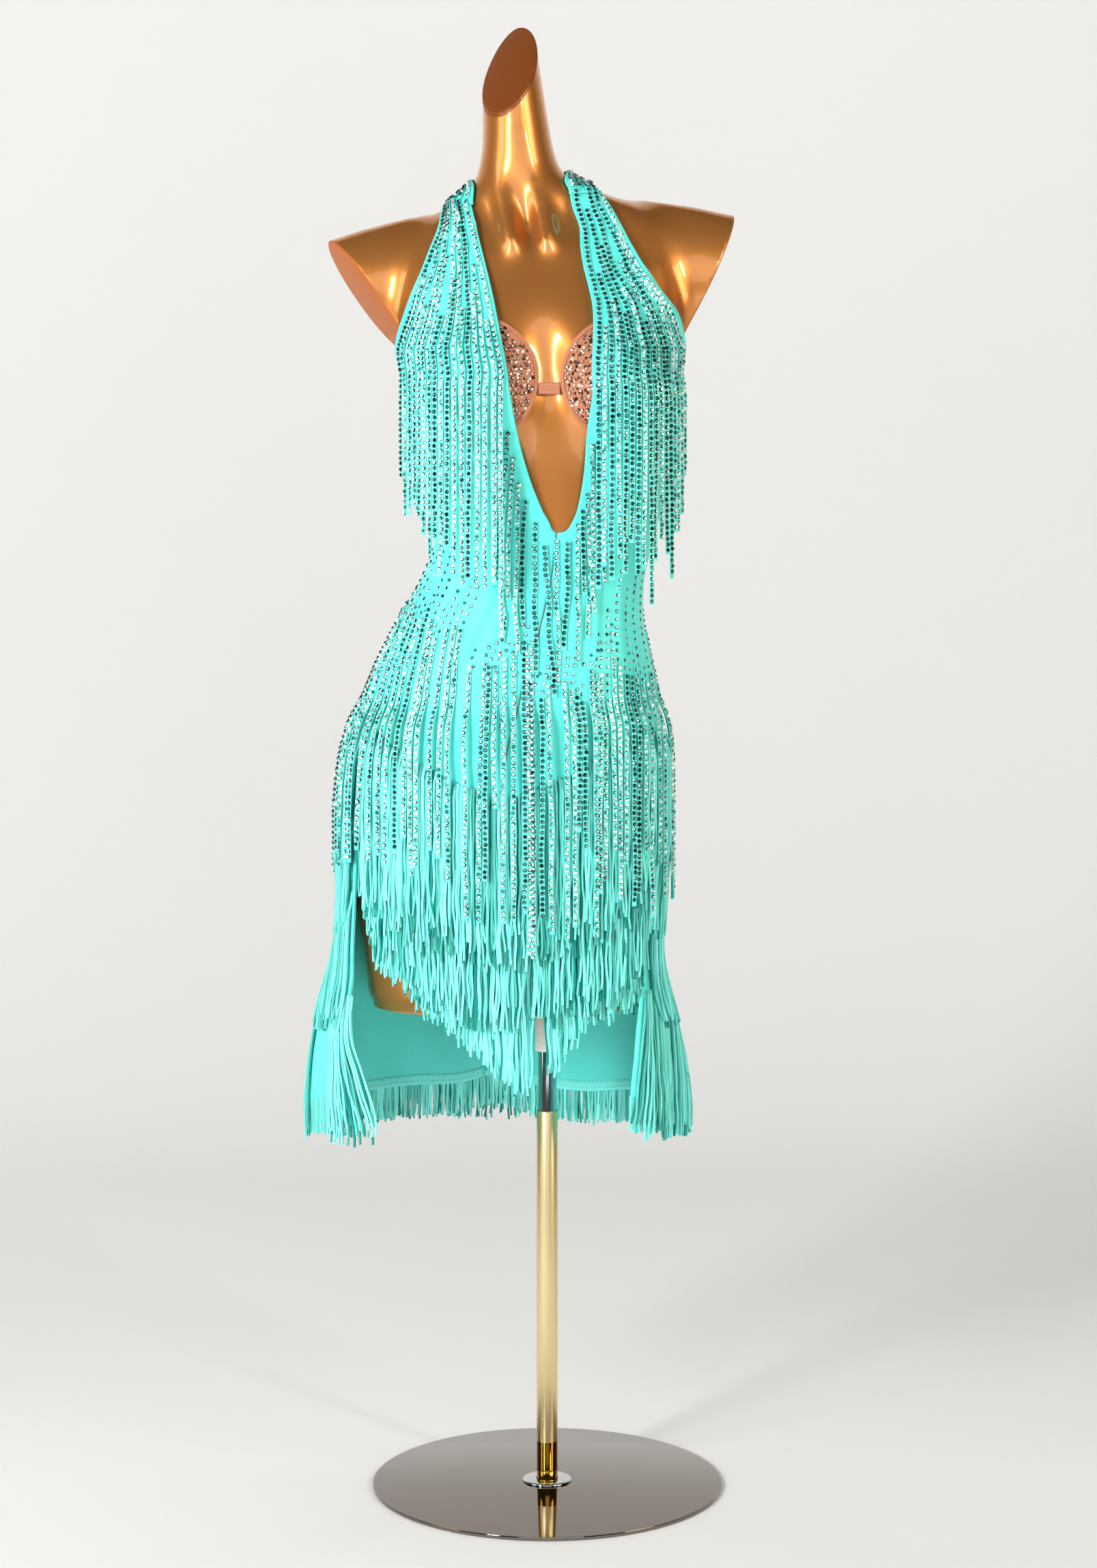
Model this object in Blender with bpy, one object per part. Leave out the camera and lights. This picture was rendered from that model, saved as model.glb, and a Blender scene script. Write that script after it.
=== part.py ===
"""Fringed halter dance dress on a limbless torso form with a two-tube height-adjustable stand.

Metres, +Z up. The dress faces -Y, and "left" and "right" are as seen from the front, so left is -X.
The origin is the middle of the base disc's underside, and the pole stands on it.
"""

import functools
import math
from collections import namedtuple

import bmesh
import bpy
from mathutils import Vector

# ---------------------------------------------------------------- driving sizes

BASE_RADIUS = 0.1825
BASE_THICKNESS = 0.004
FLANGE_RADIUS = 0.0255
FLANGE_THICKNESS = 0.003
OUTER_TUBE_RADIUS = 0.011
OUTER_TUBE_BORE = 0.0099
OUTER_TUBE_TOP = 0.398
INNER_TUBE_RADIUS = 0.0095
INNER_TUBE_BORE = 0.0083
INNER_TUBE_LENGTH = 0.395
COLLAR_RADIUS = 0.0125
COLLAR_BOTTOM = 0.461
FORM_BOTTOM = 0.507
RIM_ROUNDING = 0.009
FIT_GAP = 0.0003

# Offsets outwards from the form: brassiere, cloth, and what is sewn on the cloth
BRA_IN = 0.0020
BRA_OUT = 0.0031
CLOTH_IN = 0.0042
CLOTH_OUT = 0.0056
TRIM_IN = 0.0064
TRIM_OUT = 0.0078
LOCK_IN = 0.0064
LOCK_OUT = 0.0090
OVER_LOCK = 0.0128
TRIM_MIDDLE = (TRIM_IN + TRIM_OUT) / 2
LOCK_MIDDLE = (LOCK_IN + LOCK_OUT) / 2
# How far a strand may stand off what it lies on, to have few bends
STRIP_SLACK = 0.0012
LOCK_SLACK = 0.0020
BACKING_HEIGHT = 0.007

HIP_SEAM = 0.785
V_POINT = 0.9975
SIDE_TOP = 1.135
BACK_TOP = 0.925
HEM = 0.402
HEM_SIDE = 0.409
HEM_FALL_BACK = 0.0135
HEM_RISE_FRONT = 0.027
SEAM_GAP_DEG = 0.12
FRONT = -90.0

# ---------------------------------------------------------------- the form's sections

Section = namedtuple("Section", "z left right mid front back fullness")

# Half outlines of the trunk at each height. mid is the x of the front centre line, and
# fullness is the superellipse exponent, 2 for an ellipse.
TRUNK = (
    Section(0.380, -0.182, 0.093, -0.048, -0.078, 0.083, 2.2),
    Section(0.507, -0.184, 0.095, -0.048, -0.080, 0.086, 2.2),
    Section(0.566, -0.190, 0.100, -0.050, -0.086, 0.096, 2.2),
    Section(0.609, -0.197, 0.106, -0.050, -0.090, 0.105, 2.2),
    Section(0.652, -0.203, 0.112, -0.049, -0.094, 0.113, 2.2),
    Section(0.694, -0.206, 0.116, -0.048, -0.098, 0.119, 2.2),
    Section(0.736, -0.204, 0.116, -0.045, -0.100, 0.121, 2.2),
    Section(0.778, -0.198, 0.115, -0.040, -0.102, 0.119, 2.2),
    Section(0.820, -0.185, 0.109, -0.030, -0.102, 0.112, 2.2),
    Section(0.863, -0.168, 0.101, -0.018, -0.100, 0.100, 2.2),
    Section(0.904, -0.147, 0.093, -0.007, -0.096, 0.088, 2.2),
    Section(0.946, -0.123, 0.093, 0.003, -0.091, 0.079, 2.2),
    Section(0.988, -0.109, 0.102, 0.009, -0.089, 0.075, 2.2),
    Section(1.030, -0.115, 0.113, 0.010, -0.090, 0.078, 2.2),
    Section(1.090, -0.132, 0.124, 0.006, -0.095, 0.088, 2.2),
    Section(1.133, -0.140, 0.128, 0.001, -0.097, 0.098, 2.2),
    Section(1.174, -0.147, 0.134, -0.004, -0.095, 0.106, 2.2),
    Section(1.215, -0.155, 0.141, -0.008, -0.088, 0.109, 2.15),
    Section(1.256, -0.160, 0.148, -0.010, -0.070, 0.106, 2.1),
    Section(1.276, -0.157, 0.149, -0.011, -0.059, 0.101, 2.0),
    Section(1.290, -0.150, 0.147, -0.013, -0.051, 0.096, 2.0),
    Section(1.302, -0.137, 0.141, -0.015, -0.045, 0.091, 2.0),
    Section(1.312, -0.119, 0.130, -0.017, -0.041, 0.086, 2.0),
    Section(1.322, -0.102, 0.106, -0.019, -0.038, 0.081, 2.0),
    Section(1.331, -0.090, 0.076, -0.021, -0.037, 0.077, 2.0),
    Section(1.341, -0.079, 0.044, -0.023, -0.036, 0.073, 2.0),
    Section(1.351, -0.072, 0.023, -0.025, -0.036, 0.069, 2.0),
    Section(1.362, -0.069, 0.013, -0.027, -0.036, 0.066, 2.0),
    Section(1.378, -0.066, 0.007, -0.029, -0.037, 0.062, 2.0),
    Section(1.398, -0.065, 0.003, -0.031, -0.038, 0.059, 2.0),
    Section(1.439, -0.065, -0.004, -0.034, -0.040, 0.054, 2.0),
    Section(1.479, -0.063, -0.010, -0.036, -0.042, 0.050, 2.0),
    Section(1.540, -0.060, -0.018, -0.038, -0.044, 0.046, 2.0),
)

Bump = namedtuple("Bump", "x_from_mid z height spread_x spread_up spread_down front")

# The form's own bust and seat, and the same under stretched cloth, which bridges the hollows
FORM_BUMPS = (
    Bump(-0.070, 1.135, 0.038, 0.042, 0.062, 0.042, True),
    Bump(0.070, 1.135, 0.038, 0.042, 0.062, 0.042, True),
    Bump(-0.075, 0.715, 0.022, 0.070, 0.075, 0.060, False),
    Bump(0.075, 0.715, 0.022, 0.070, 0.075, 0.060, False),
)
CLOTH_BUMPS = (
    Bump(-0.070, 1.135, 0.0395, 0.046, 0.064, 0.080, True),
    Bump(0.070, 1.135, 0.0395, 0.046, 0.064, 0.080, True),
    Bump(-0.075, 0.715, 0.023, 0.074, 0.080, 0.080, False),
    Bump(0.075, 0.715, 0.023, 0.074, 0.080, 0.080, False),
)

Plane = namedtuple("Plane", "point normal")
NECK_CUT = Plane(Vector((-0.038, 0.003, 1.460)), Vector((-0.176, -0.689, 0.703)))
LEFT_ARM_CUT = Plane(Vector((-0.222, 0.028, 1.291)), Vector((-0.78, -0.33, -0.53)))
RIGHT_ARM_CUT = Plane(Vector((0.188, 0.028, 1.316)), Vector((0.90, 0.15, -0.42)))
NECK_CAP_THICKNESS = 0.002

ArmSection = namedtuple("ArmSection", "x top bottom half_depth y")
LEFT_ARM = (
    ArmSection(-0.100, 1.296, 1.200, 0.030, 0.026),
    ArmSection(-0.140, 1.308, 1.180, 0.046, 0.027),
    ArmSection(-0.170, 1.3035, 1.174, 0.051, 0.028),
    ArmSection(-0.200, 1.297, 1.168, 0.051, 0.028),
    ArmSection(-0.250, 1.280, 1.158, 0.047, 0.028),
)
RIGHT_ARM = (
    ArmSection(0.085, 1.306, 1.210, 0.030, 0.026),
    ArmSection(0.120, 1.3215, 1.196, 0.044, 0.027),
    ArmSection(0.150, 1.3205, 1.186, 0.050, 0.028),
    ArmSection(0.180, 1.3170, 1.178, 0.050, 0.028),
    ArmSection(0.230, 1.3080, 1.168, 0.046, 0.028),
)

# ---------------------------------------------------------------- the dress's outlines

# Where the halter fronts' edges run, as the x of each edge at a height
StrapEdge = namedtuple("StrapEdge", "z left_out left_in right_in right_out")
STRAP = (
    StrapEdge(1.135, -0.146, -0.038, 0.046, 0.134),
    StrapEdge(1.160, -0.149, -0.041, 0.045, 0.136),
    StrapEdge(1.190, -0.146, -0.046, 0.045, 0.133),
    StrapEdge(1.215, -0.138, -0.050, 0.044, 0.126),
    StrapEdge(1.235, -0.131, -0.054, 0.040, 0.111),
    StrapEdge(1.256, -0.122, -0.059, 0.035, 0.096),
    StrapEdge(1.276, -0.115, -0.064, 0.032, 0.085),
    StrapEdge(1.297, -0.107, -0.069, 0.031, 0.074),
    StrapEdge(1.317, -0.103, -0.073, 0.024, 0.063),
    StrapEdge(1.331, -0.099, -0.075, 0.021, 0.052),
)
STRAP_TOP_LEFT = 1.3205
STRAP_TOP_RIGHT = 1.3310

VEdge = namedtuple("VEdge", "z left right")
V_EDGE = (
    VEdge(0.9975, 0.0115, 0.0120),
    VEdge(1.008, 0.0030, 0.0240),
    VEdge(1.020, -0.0040, 0.0290),
    VEdge(1.055, -0.0180, 0.0360),
    VEdge(1.095, -0.0300, 0.0400),
    VEdge(1.135, -0.0380, 0.0460),
)

# How far the back skirt stands off the form's own section, and where its two front edges are,
# in degrees from the front
Flare = namedtuple("Flare", "z left right back edge_left edge_right")
FLARE = (
    Flare(0.785, 0.000, 0.000, 0.000, 60.2, 60.2),
    Flare(0.700, 0.000, 0.000, 0.000, 60.2, 61.0),
    Flare(0.652, 0.003, 0.002, 0.002, 62.0, 66.0),
    Flare(0.609, 0.009, 0.005, 0.008, 64.0, 70.0),
    Flare(0.566, 0.021, 0.009, 0.018, 62.0, 72.0),
    Flare(0.540, 0.030, 0.014, 0.025, 58.5, 68.0),
    Flare(0.512, 0.040, 0.022, 0.034, 56.5, 54.0),
    Flare(0.481, 0.047, 0.030, 0.041, 54.5, 47.5),
    Flare(0.440, 0.053, 0.037, 0.049, 49.0, 44.5),
    Flare(0.402, 0.056, 0.041, 0.055, 45.0, 43.0),
)
# The soft flutes in the back skirt's hem: where each stands out, how far, and how wide
Flute = namedtuple("Flute", "turn_deg depth width_deg")
FLUTES = (
    Flute(222.0, 0.010, 9.0),
    Flute(196.0, -0.007, 10.0),
    Flute(170.0, 0.007, 12.0),
    Flute(140.0, -0.009, 11.0),
    Flute(114.0, 0.009, 12.0),
    Flute(86.0, -0.008, 12.0),
    Flute(58.0, 0.009, 12.0),
    Flute(30.0, -0.007, 11.0),
    Flute(4.0, 0.007, 11.0),
    Flute(-18.0, -0.005, 8.0),
    Flute(-40.0, 0.008, 8.0),
)
FLUTE_TOP = 0.60

# The front apron's cloth hem under its fringe, by turn either side of the centre
APRON_HALF_DEG = 59.5
APRON_HEM_SIDE = 0.640
APRON_HEM_CENTRE = 0.575

# ---------------------------------------------------------------- strips and fringe

STRAP_STRIPS = 7
CHEST_STRIPS = 18
CENTRE_STRIPS = 5
HIP_FRONT_STRIPS = 24
HIP_BACK_STRIPS = 18
FRONT_UPPER_LOCKS = 24
FRONT_HEM_LOCKS = 28
BACK_UPPER_LOCKS = 28
BACK_MIDDLE_LOCKS = 32
BACK_HEM_LOCKS = 38
STRIP_SHARE = 0.62
LOCK_SHARE = 0.66

# Where the hanging chest strips end, by how far each is from the outer edge (0) to the neckline (1)
CHEST_LEFT_ENDS = (1.026, 1.020, 0.975, 0.962, 0.955, 0.965)
CHEST_RIGHT_ENDS = (0.955, 0.965, 0.990, 0.955, 0.955, 0.965)
HIP_FRONT_ENDS = (0.640, 0.655, 0.610, 0.640, 0.575, 0.600, 0.590, 0.640, 0.625, 0.655)
HIP_BACK_ENDS = (0.660, 0.630, 0.665, 0.640, 0.620, 0.655, 0.635, 0.660)
# The front fringe's lower ends, as a height at each x
FringeEnd = namedtuple("FringeEnd", "x z")
FRONT_HEM_ENDS = (
    FringeEnd(-0.181, 0.541),
    FringeEnd(-0.140, 0.521),
    FringeEnd(-0.103, 0.505),
    FringeEnd(-0.072, 0.471),
    FringeEnd(-0.052, 0.450),
    FringeEnd(-0.037, 0.432),
    FringeEnd(-0.020, 0.440),
    FringeEnd(0.000, 0.455),
    FringeEnd(0.030, 0.480),
    FringeEnd(0.070, 0.515),
    FringeEnd(0.100, 0.531),
)
FRINGE_BOTTOM = 0.380
WAVER = 0.006

# ---------------------------------------------------------------- colours

Finish = namedtuple("Finish", "colour roughness metallic")
TURQUOISE = Finish((0.06, 0.76, 0.62), 0.55, 0.0)
STONED_RIBBON = Finish((0.35, 0.80, 0.72), 0.25, 0.3)
GOLD_PAINT = Finish((0.52, 0.22, 0.06), 0.25, 0.7)
CAP_BROWN = Finish((0.24, 0.10, 0.04), 0.60, 0.2)
POLISHED_GOLD = Finish((0.80, 0.60, 0.25), 0.15, 1.0)
CHROME = Finish((0.75, 0.75, 0.76), 0.08, 1.0)
MIRROR_STEEL = Finish((0.45, 0.40, 0.38), 0.08, 1.0)
WHITE_PLASTIC = Finish((0.80, 0.80, 0.80), 0.40, 0.0)
NUDE_CLOTH = Finish((0.50, 0.26, 0.16), 0.50, 0.0)


def between(rows, column, key, field):
    """A smooth value of one column of a table, whose rows run one way along another column."""
    if getattr(rows[0], column) > getattr(rows[-1], column):
        rows = rows[::-1]
    places = [getattr(row, column) for row in rows]
    values = [getattr(row, field) for row in rows]
    if key <= places[0]:
        return values[0]
    if key >= places[-1]:
        return values[-1]
    i = max(k for k in range(len(places) - 1) if places[k] <= key)

    def slope(k):
        low, high = max(k - 1, 0), min(k + 1, len(places) - 1)
        return (values[high] - values[low]) / (places[high] - places[low])

    span = places[i + 1] - places[i]
    t = (key - places[i]) / span
    start, end = slope(i) * span, slope(i + 1) * span
    return (
        (2 * t**3 - 3 * t**2 + 1) * values[i]
        + (t**3 - 2 * t**2 + t) * start
        + (3 * t**2 - 2 * t**3) * values[i + 1]
        + (t**3 - t**2) * end
    )


def along(values, share):
    """A value from an evenly spaced list, read between its entries."""
    place = share * (len(values) - 1)
    low = min(int(place), len(values) - 2)
    return values[low] + (values[low + 1] - values[low]) * (place - low)


def smooth(t):
    t = min(max(t, 0.0), 1.0)
    return t * t * (3 - 2 * t)


@functools.lru_cache(maxsize=None)
def trunk(z):
    return Section(z, *(between(TRUNK, "z", z, field) for field in Section._fields[1:]))


def power(value, exponent):
    return math.copysign(abs(value) ** exponent, value)


def section_point(z, turn, bumps):
    """A point on the trunk. turn is in degrees: -90 is the front, 0 the right, 90 the back, 180 the left."""
    s = trunk(z)
    c, n = math.cos(math.radians(turn)), math.sin(math.radians(turn))
    across = s.right - s.mid if c >= 0 else s.mid - s.left
    deep = (s.back - s.front) / 2
    x = s.mid + across * power(c, 2 / s.fullness)
    y = (s.front + s.back) / 2 + deep * power(n, 2 / s.fullness)
    out = Vector((power(c, 2 - 2 / s.fullness) / across, power(n, 2 - 2 / s.fullness) / deep, 0)).normalized()
    rise = 0.0
    for bump in bumps:
        facing = smooth(-n * 2.2) if bump.front else smooth(n * 2.2)
        spread_z = bump.spread_up if z > bump.z else bump.spread_down
        away = ((x - s.mid - bump.x_from_mid) / bump.spread_x) ** 2 + ((z - bump.z) / spread_z) ** 2
        rise += bump.height * math.exp(-away) * facing
    return Vector((x, y, z)) + out * rise


@functools.lru_cache(maxsize=None)
def flare_at(z):
    return Flare(z, *(between(FLARE, "z", z, field) for field in Flare._fields[1:]))


def skirt_point(z, turn):
    """The back skirt's base surface, flared off the form's section, with its flutes."""
    if z >= FLARE[1].z:
        return section_point(z, turn, CLOTH_BUMPS)
    c, n = math.cos(math.radians(turn)), math.sin(math.radians(turn))
    here = flare_at(z)
    side = here.left if c < 0 else here.right
    flare = side + (here.back - side) * (n * n if n > 0 else 0)
    growth = smooth((FLUTE_TOP - z) / (FLUTE_TOP - HEM))
    for flute in FLUTES:
        flare += flute.depth * growth * math.exp(-(((turn - flute.turn_deg) / flute.width_deg) ** 2))
    base = section_point(z, turn, CLOTH_BUMPS)
    return base + Vector((c, n, 0)) * flare


def form_surface(z, turn):
    return section_point(z, turn, FORM_BUMPS)


def cloth_surface(z, turn):
    return section_point(z, turn, CLOTH_BUMPS)


def lifted(surface, z, turn, out):
    """A point of a surface, moved out along the surface's own normal."""
    dz, dt = 0.002, 0.8
    up = surface(z + dz, turn) - surface(z - dz, turn)
    around = surface(z, turn + dt) - surface(z, turn - dt)
    return surface(z, turn) + around.cross(up).normalized() * out


def turn_at(surface, z, x):
    """The turn on the front half at which a surface has this x."""
    low, high = -180.0, 0.0
    for _ in range(40):
        middle = (low + high) / 2
        if surface(z, middle).x < x:
            low = middle
        else:
            high = middle
    return (low + high) / 2


# ---------------------------------------------------------------- making objects


def material(name, finish):
    made = bpy.data.materials.get(name)
    if made:
        return made
    made = bpy.data.materials.new(name)
    made.use_nodes = True
    shader = made.node_tree.nodes["Principled BSDF"]
    shader.inputs["Base Color"].default_value = (*finish.colour, 1)
    shader.inputs["Roughness"].default_value = finish.roughness
    shader.inputs["Metallic"].default_value = finish.metallic
    made.diffuse_color = (*finish.colour, 1)
    return made


def add_object(name, bm, finish, finish_name, crease_deg=40.0):
    mesh = bpy.data.meshes.new(name)
    bm.to_mesh(mesh)
    bm.free()
    mesh.shade_smooth()
    mesh.set_sharp_from_angle(angle=math.radians(crease_deg))
    made = bpy.data.objects.new(name, mesh)
    mesh.materials.append(material(finish_name, finish))
    bpy.context.collection.objects.link(made)
    return made


def wall_mesh(inner, outer):
    """A closed wall between two grids of points that have the same rows and columns."""
    rows, columns = len(inner), len(inner[0])
    bm = bmesh.new()
    bmesh.ops.create_grid(bm, x_segments=columns - 1, y_segments=rows - 1, size=1)
    place = bm.verts.layers.int.new("place")
    for number, vert in enumerate(bm.verts):
        vert[place] = number
        vert.co = inner[number // columns][number % columns]
    raised = bmesh.ops.extrude_face_region(bm, geom=bm.faces[:])
    for vert in raised["geom"]:
        if isinstance(vert, bmesh.types.BMVert):
            vert.co = outer[vert[place] // columns][vert[place] % columns]
    bmesh.ops.recalc_face_normals(bm, faces=bm.faces[:])
    return bm, place


def wall(name, surface, grid, inside, outside, finish, finish_name):
    """A cloth piece: grid holds rows of (z, turn) on a surface."""
    inner = [[lifted(surface, z, turn, inside) for z, turn in row] for row in grid]
    outer = [[lifted(surface, z, turn, outside) for z, turn in row] for row in grid]
    bm, _ = wall_mesh(inner, outer)
    return add_object(name, bm, finish, finish_name)


def ring_loft(rings):
    """A tube through rings of points, open at both ends."""
    count = len(rings[0])
    bm = bmesh.new()
    place = bm.verts.layers.int.new("place")
    bmesh.ops.create_circle(bm, segments=count, radius=1)
    for number, vert in enumerate(bm.verts):
        vert[place] = number
        vert.co = rings[0][number]
    edges = bm.edges[:]
    for ring in rings[1:]:
        grown = bmesh.ops.extrude_edge_only(bm, edges=edges)["geom"]
        for vert in (item for item in grown if isinstance(item, bmesh.types.BMVert)):
            vert.co = ring[vert[place]]
        new = {item for item in grown if isinstance(item, bmesh.types.BMVert)}
        edges = [
            item
            for item in grown
            if isinstance(item, bmesh.types.BMEdge) and set(item.verts) <= new
        ]
    return bm


def close_ends(bm):
    bmesh.ops.holes_fill(bm, edges=[edge for edge in bm.edges if edge.is_boundary], sides=0)
    bmesh.ops.recalc_face_normals(bm, faces=bm.faces[:])


def cut_away(bm, plane, keep_below=True):
    """Cuts a closed mesh by a plane and closes the cut."""
    geom = bm.verts[:] + bm.edges[:] + bm.faces[:]
    bmesh.ops.bisect_plane(
        bm,
        geom=geom,
        plane_co=plane.point,
        plane_no=plane.normal,
        clear_outer=keep_below,
        clear_inner=not keep_below,
    )
    close_ends(bm)


def turned(name, profile, segments, finish, finish_name):
    """A round piece from a closed profile of (radius, z), spun about the pole."""
    bm = bmesh.new()
    verts = [bm.verts.new((radius, 0, z)) for radius, z in profile]
    closed = profile[0][0] > 0
    pairs = list(zip(verts, verts[1:]))
    if closed:
        pairs.append((verts[-1], verts[0]))
    edges = [bm.edges.new(pair) for pair in pairs]
    bmesh.ops.spin(
        bm,
        geom=verts + edges,
        cent=(0, 0, 0),
        axis=(0, 0, 1),
        angle=math.tau,
        steps=segments,
        use_merge=True,
        use_duplicate=False,
    )
    bmesh.ops.remove_doubles(bm, verts=bm.verts[:], dist=0.00001)
    bmesh.ops.recalc_face_normals(bm, faces=bm.faces[:])
    return add_object(name, bm, finish, finish_name, crease_deg=30.0)


# ---------------------------------------------------------------- stand


def make_stand():
    edge = 0.001
    turned(
        "base_disc",
        (
            (0, 0),
            (BASE_RADIUS - edge, 0),
            (BASE_RADIUS, edge),
            (BASE_RADIUS, BASE_THICKNESS - edge),
            (BASE_RADIUS - edge, BASE_THICKNESS),
            (0, BASE_THICKNESS),
        ),
        48,
        MIRROR_STEEL,
        "mirror_steel",
    )
    low = BASE_THICKNESS + FIT_GAP
    turned(
        "base_flange",
        (
            (OUTER_TUBE_RADIUS + FIT_GAP, low),
            (FLANGE_RADIUS, low),
            (FLANGE_RADIUS, low + FLANGE_THICKNESS * 0.4),
            (FLANGE_RADIUS - 0.004, low + FLANGE_THICKNESS),
            (OUTER_TUBE_RADIUS + FIT_GAP, low + FLANGE_THICKNESS),
        ),
        24,
        CHROME,
        "chrome",
    )
    turned(
        "outer_tube",
        (
            (OUTER_TUBE_BORE, low),
            (OUTER_TUBE_RADIUS, low),
            (OUTER_TUBE_RADIUS, OUTER_TUBE_TOP),
            (OUTER_TUBE_BORE, OUTER_TUBE_TOP),
        ),
        24,
        POLISHED_GOLD,
        "polished_gold",
    )


def make_mast_top():
    top = FORM_BOTTOM - FIT_GAP
    turned(
        "inner_tube",
        (
            (INNER_TUBE_BORE, top - INNER_TUBE_LENGTH),
            (INNER_TUBE_RADIUS, top - INNER_TUBE_LENGTH),
            (INNER_TUBE_RADIUS, top),
            (INNER_TUBE_BORE, top),
        ),
        24,
        CHROME,
        "chrome",
    )
    turned(
        "socket_collar",
        (
            (INNER_TUBE_RADIUS + FIT_GAP, COLLAR_BOTTOM),
            (COLLAR_RADIUS, COLLAR_BOTTOM),
            (COLLAR_RADIUS, top),
            (INNER_TUBE_RADIUS + FIT_GAP, top),
        ),
        24,
        WHITE_PLASTIC,
        "white_plastic",
    )


# ---------------------------------------------------------------- form

# The front has more sides than the back, for the bust
FORM_TURNS = tuple(-146 + 7 * k for k in range(17)) + tuple(-11 + 22 * k for k in range(10))
FORM_HEIGHTS = (
    0.517, 0.590, 0.660, 0.720, 0.790, 0.850, 0.905, 0.950, 0.990, 1.035, 1.068, 1.090, 1.112,
    1.134, 1.156, 1.180, 1.210, 1.245, 1.273, 1.292, 1.306, 1.319, 1.331, 1.344, 1.370, 1.540,
)  # fmt: skip


def form_rings():
    rim = ((FORM_BOTTOM, -RIM_ROUNDING), (FORM_BOTTOM + RIM_ROUNDING * 0.3, -RIM_ROUNDING * 0.3))
    rings = []
    for z, out in rim:
        flat = [lifted(form_surface, FORM_BOTTOM, turn, out) for turn in FORM_TURNS]
        rings.append([Vector((p.x, p.y, z)) for p in flat])
    rings += [[form_surface(z, turn) for turn in FORM_TURNS] for z in FORM_HEIGHTS]
    return rings


def make_arm_root(name, table, cut):
    sides, rings = 16, []
    for s in table:
        middle, half = (s.top + s.bottom) / 2, (s.top - s.bottom) / 2
        angles = [math.tau * k / sides for k in range(sides)]
        y_z = [(s.y + s.half_depth * math.cos(a), middle + half * math.sin(a)) for a in angles]
        rings.append([Vector((s.x, y, z)) for y, z in y_z])
    bm = ring_loft(rings)
    close_ends(bm)
    cut_away(bm, cut)
    arm = add_object(name, bm, GOLD_PAINT, "gold_paint")
    arm.hide_render = True
    arm.display_type = "WIRE"
    return arm


def make_form():
    bm = ring_loft(form_rings())
    close_ends(bm)
    cap = bm.copy()
    normal = NECK_CUT.normal.normalized()
    below_cap = Plane(NECK_CUT.point - normal * (NECK_CAP_THICKNESS + FIT_GAP), normal)
    cut_away(bm, below_cap)
    torso = add_object("form_torso", bm, GOLD_PAINT, "gold_paint", crease_deg=50.0)
    for arm in (
        make_arm_root("arm_root_left", LEFT_ARM, LEFT_ARM_CUT),
        make_arm_root("arm_root_right", RIGHT_ARM, RIGHT_ARM_CUT),
    ):
        join = torso.modifiers.new(arm.name, "BOOLEAN")
        join.operation = "UNION"
        join.object = arm
    cut_away(cap, NECK_CUT)
    cut_away(cap, Plane(NECK_CUT.point - normal * NECK_CAP_THICKNESS, normal), keep_below=False)
    add_object("neck_cap", cap, CAP_BROWN, "cap_brown")


# ---------------------------------------------------------------- brassiere


def disc_grid(middle_x, middle_z, half_x, half_z, cells):
    """Rows of (z, turn) that fill an ellipse on the form's front."""
    rows = []
    for j in range(cells + 1):
        t = 2 * j / cells - 1
        row = []
        for i in range(cells + 1):
            s = 2 * i / cells - 1
            x = middle_x + half_x * s * math.sqrt(1 - t * t / 2)
            z = middle_z + half_z * t * math.sqrt(1 - s * s / 2)
            row.append((z, turn_at(form_surface, z, x)))
        rows.append(row)
    return rows


CUP_HALF_WIDTH = 0.053
CUP_HALF_HEIGHT = 0.068
CUP_MIDDLE_Z = 1.138
CUP_LEFT_X = -0.064
CUP_RIGHT_X = 0.069
BRIDGE_LIFT = 0.0012
BAND_HALF_HEIGHT = 0.009


def make_bra():
    for name, x in (("bra_cup_left", CUP_LEFT_X), ("bra_cup_right", CUP_RIGHT_X)):
        grid = disc_grid(x, CUP_MIDDLE_Z, CUP_HALF_WIDTH, CUP_HALF_HEIGHT, 8)
        wall(name, form_surface, grid, BRA_IN, BRA_OUT, NUDE_CLOTH, "nude_cloth")

    # The bridge runs straight from cup to cup, off the hollow between them
    low, high = CUP_MIDDLE_Z - 0.007, CUP_MIDDLE_Z + 0.007
    left_x, right_x = CUP_LEFT_X + CUP_HALF_WIDTH + 0.0008, CUP_RIGHT_X - CUP_HALF_WIDTH - 0.0008
    grids = []
    for out in (BRA_IN + BRIDGE_LIFT, BRA_OUT + BRIDGE_LIFT):
        rows = []
        for z in (low, high):
            ends = [lifted(form_surface, z, turn_at(form_surface, z, x), out) for x in (left_x, right_x)]
            rows.append([ends[0].lerp(ends[1], k / 3) for k in range(4)])
        grids.append(rows)
    bm, _ = wall_mesh(*grids)
    add_object("bra_bridge", bm, NUDE_CLOTH, "nude_cloth")

    # The band goes from one cup's outer edge round the back to the other's
    start = turn_at(form_surface, 1.150, CUP_RIGHT_X + CUP_HALF_WIDTH + 0.003)
    end = 360 + turn_at(form_surface, 1.150, CUP_LEFT_X - CUP_HALF_WIDTH - 0.003)
    rows = []
    for share in (-1, 0, 1):
        row = []
        for k in range(25):
            turn = start + (end - start) * k / 24
            middle = 1.143 + 0.014 * math.exp(-(((abs(turn - 90) - 92) / 30) ** 2))
            row.append((middle + share * BAND_HALF_HEIGHT, turn))
        rows.append(row)
    wall("bra_band", form_surface, rows, BRA_IN, BRA_OUT, NUDE_CLOTH, "nude_cloth")


# ---------------------------------------------------------------- bodice

# Each front has these rows and one more, at its strap's top
BODICE_ROWS = (
    0.7853, 0.820, 0.860, 0.895, 0.930, 0.965, 0.997, 1.006, 1.020, 1.050, 1.078, 1.102, 1.124,
    1.146, 1.168, 1.190, 1.212, 1.235, 1.258, 1.280, 1.302,
)  # fmt: skip
BODICE_COLUMNS = 11


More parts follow.
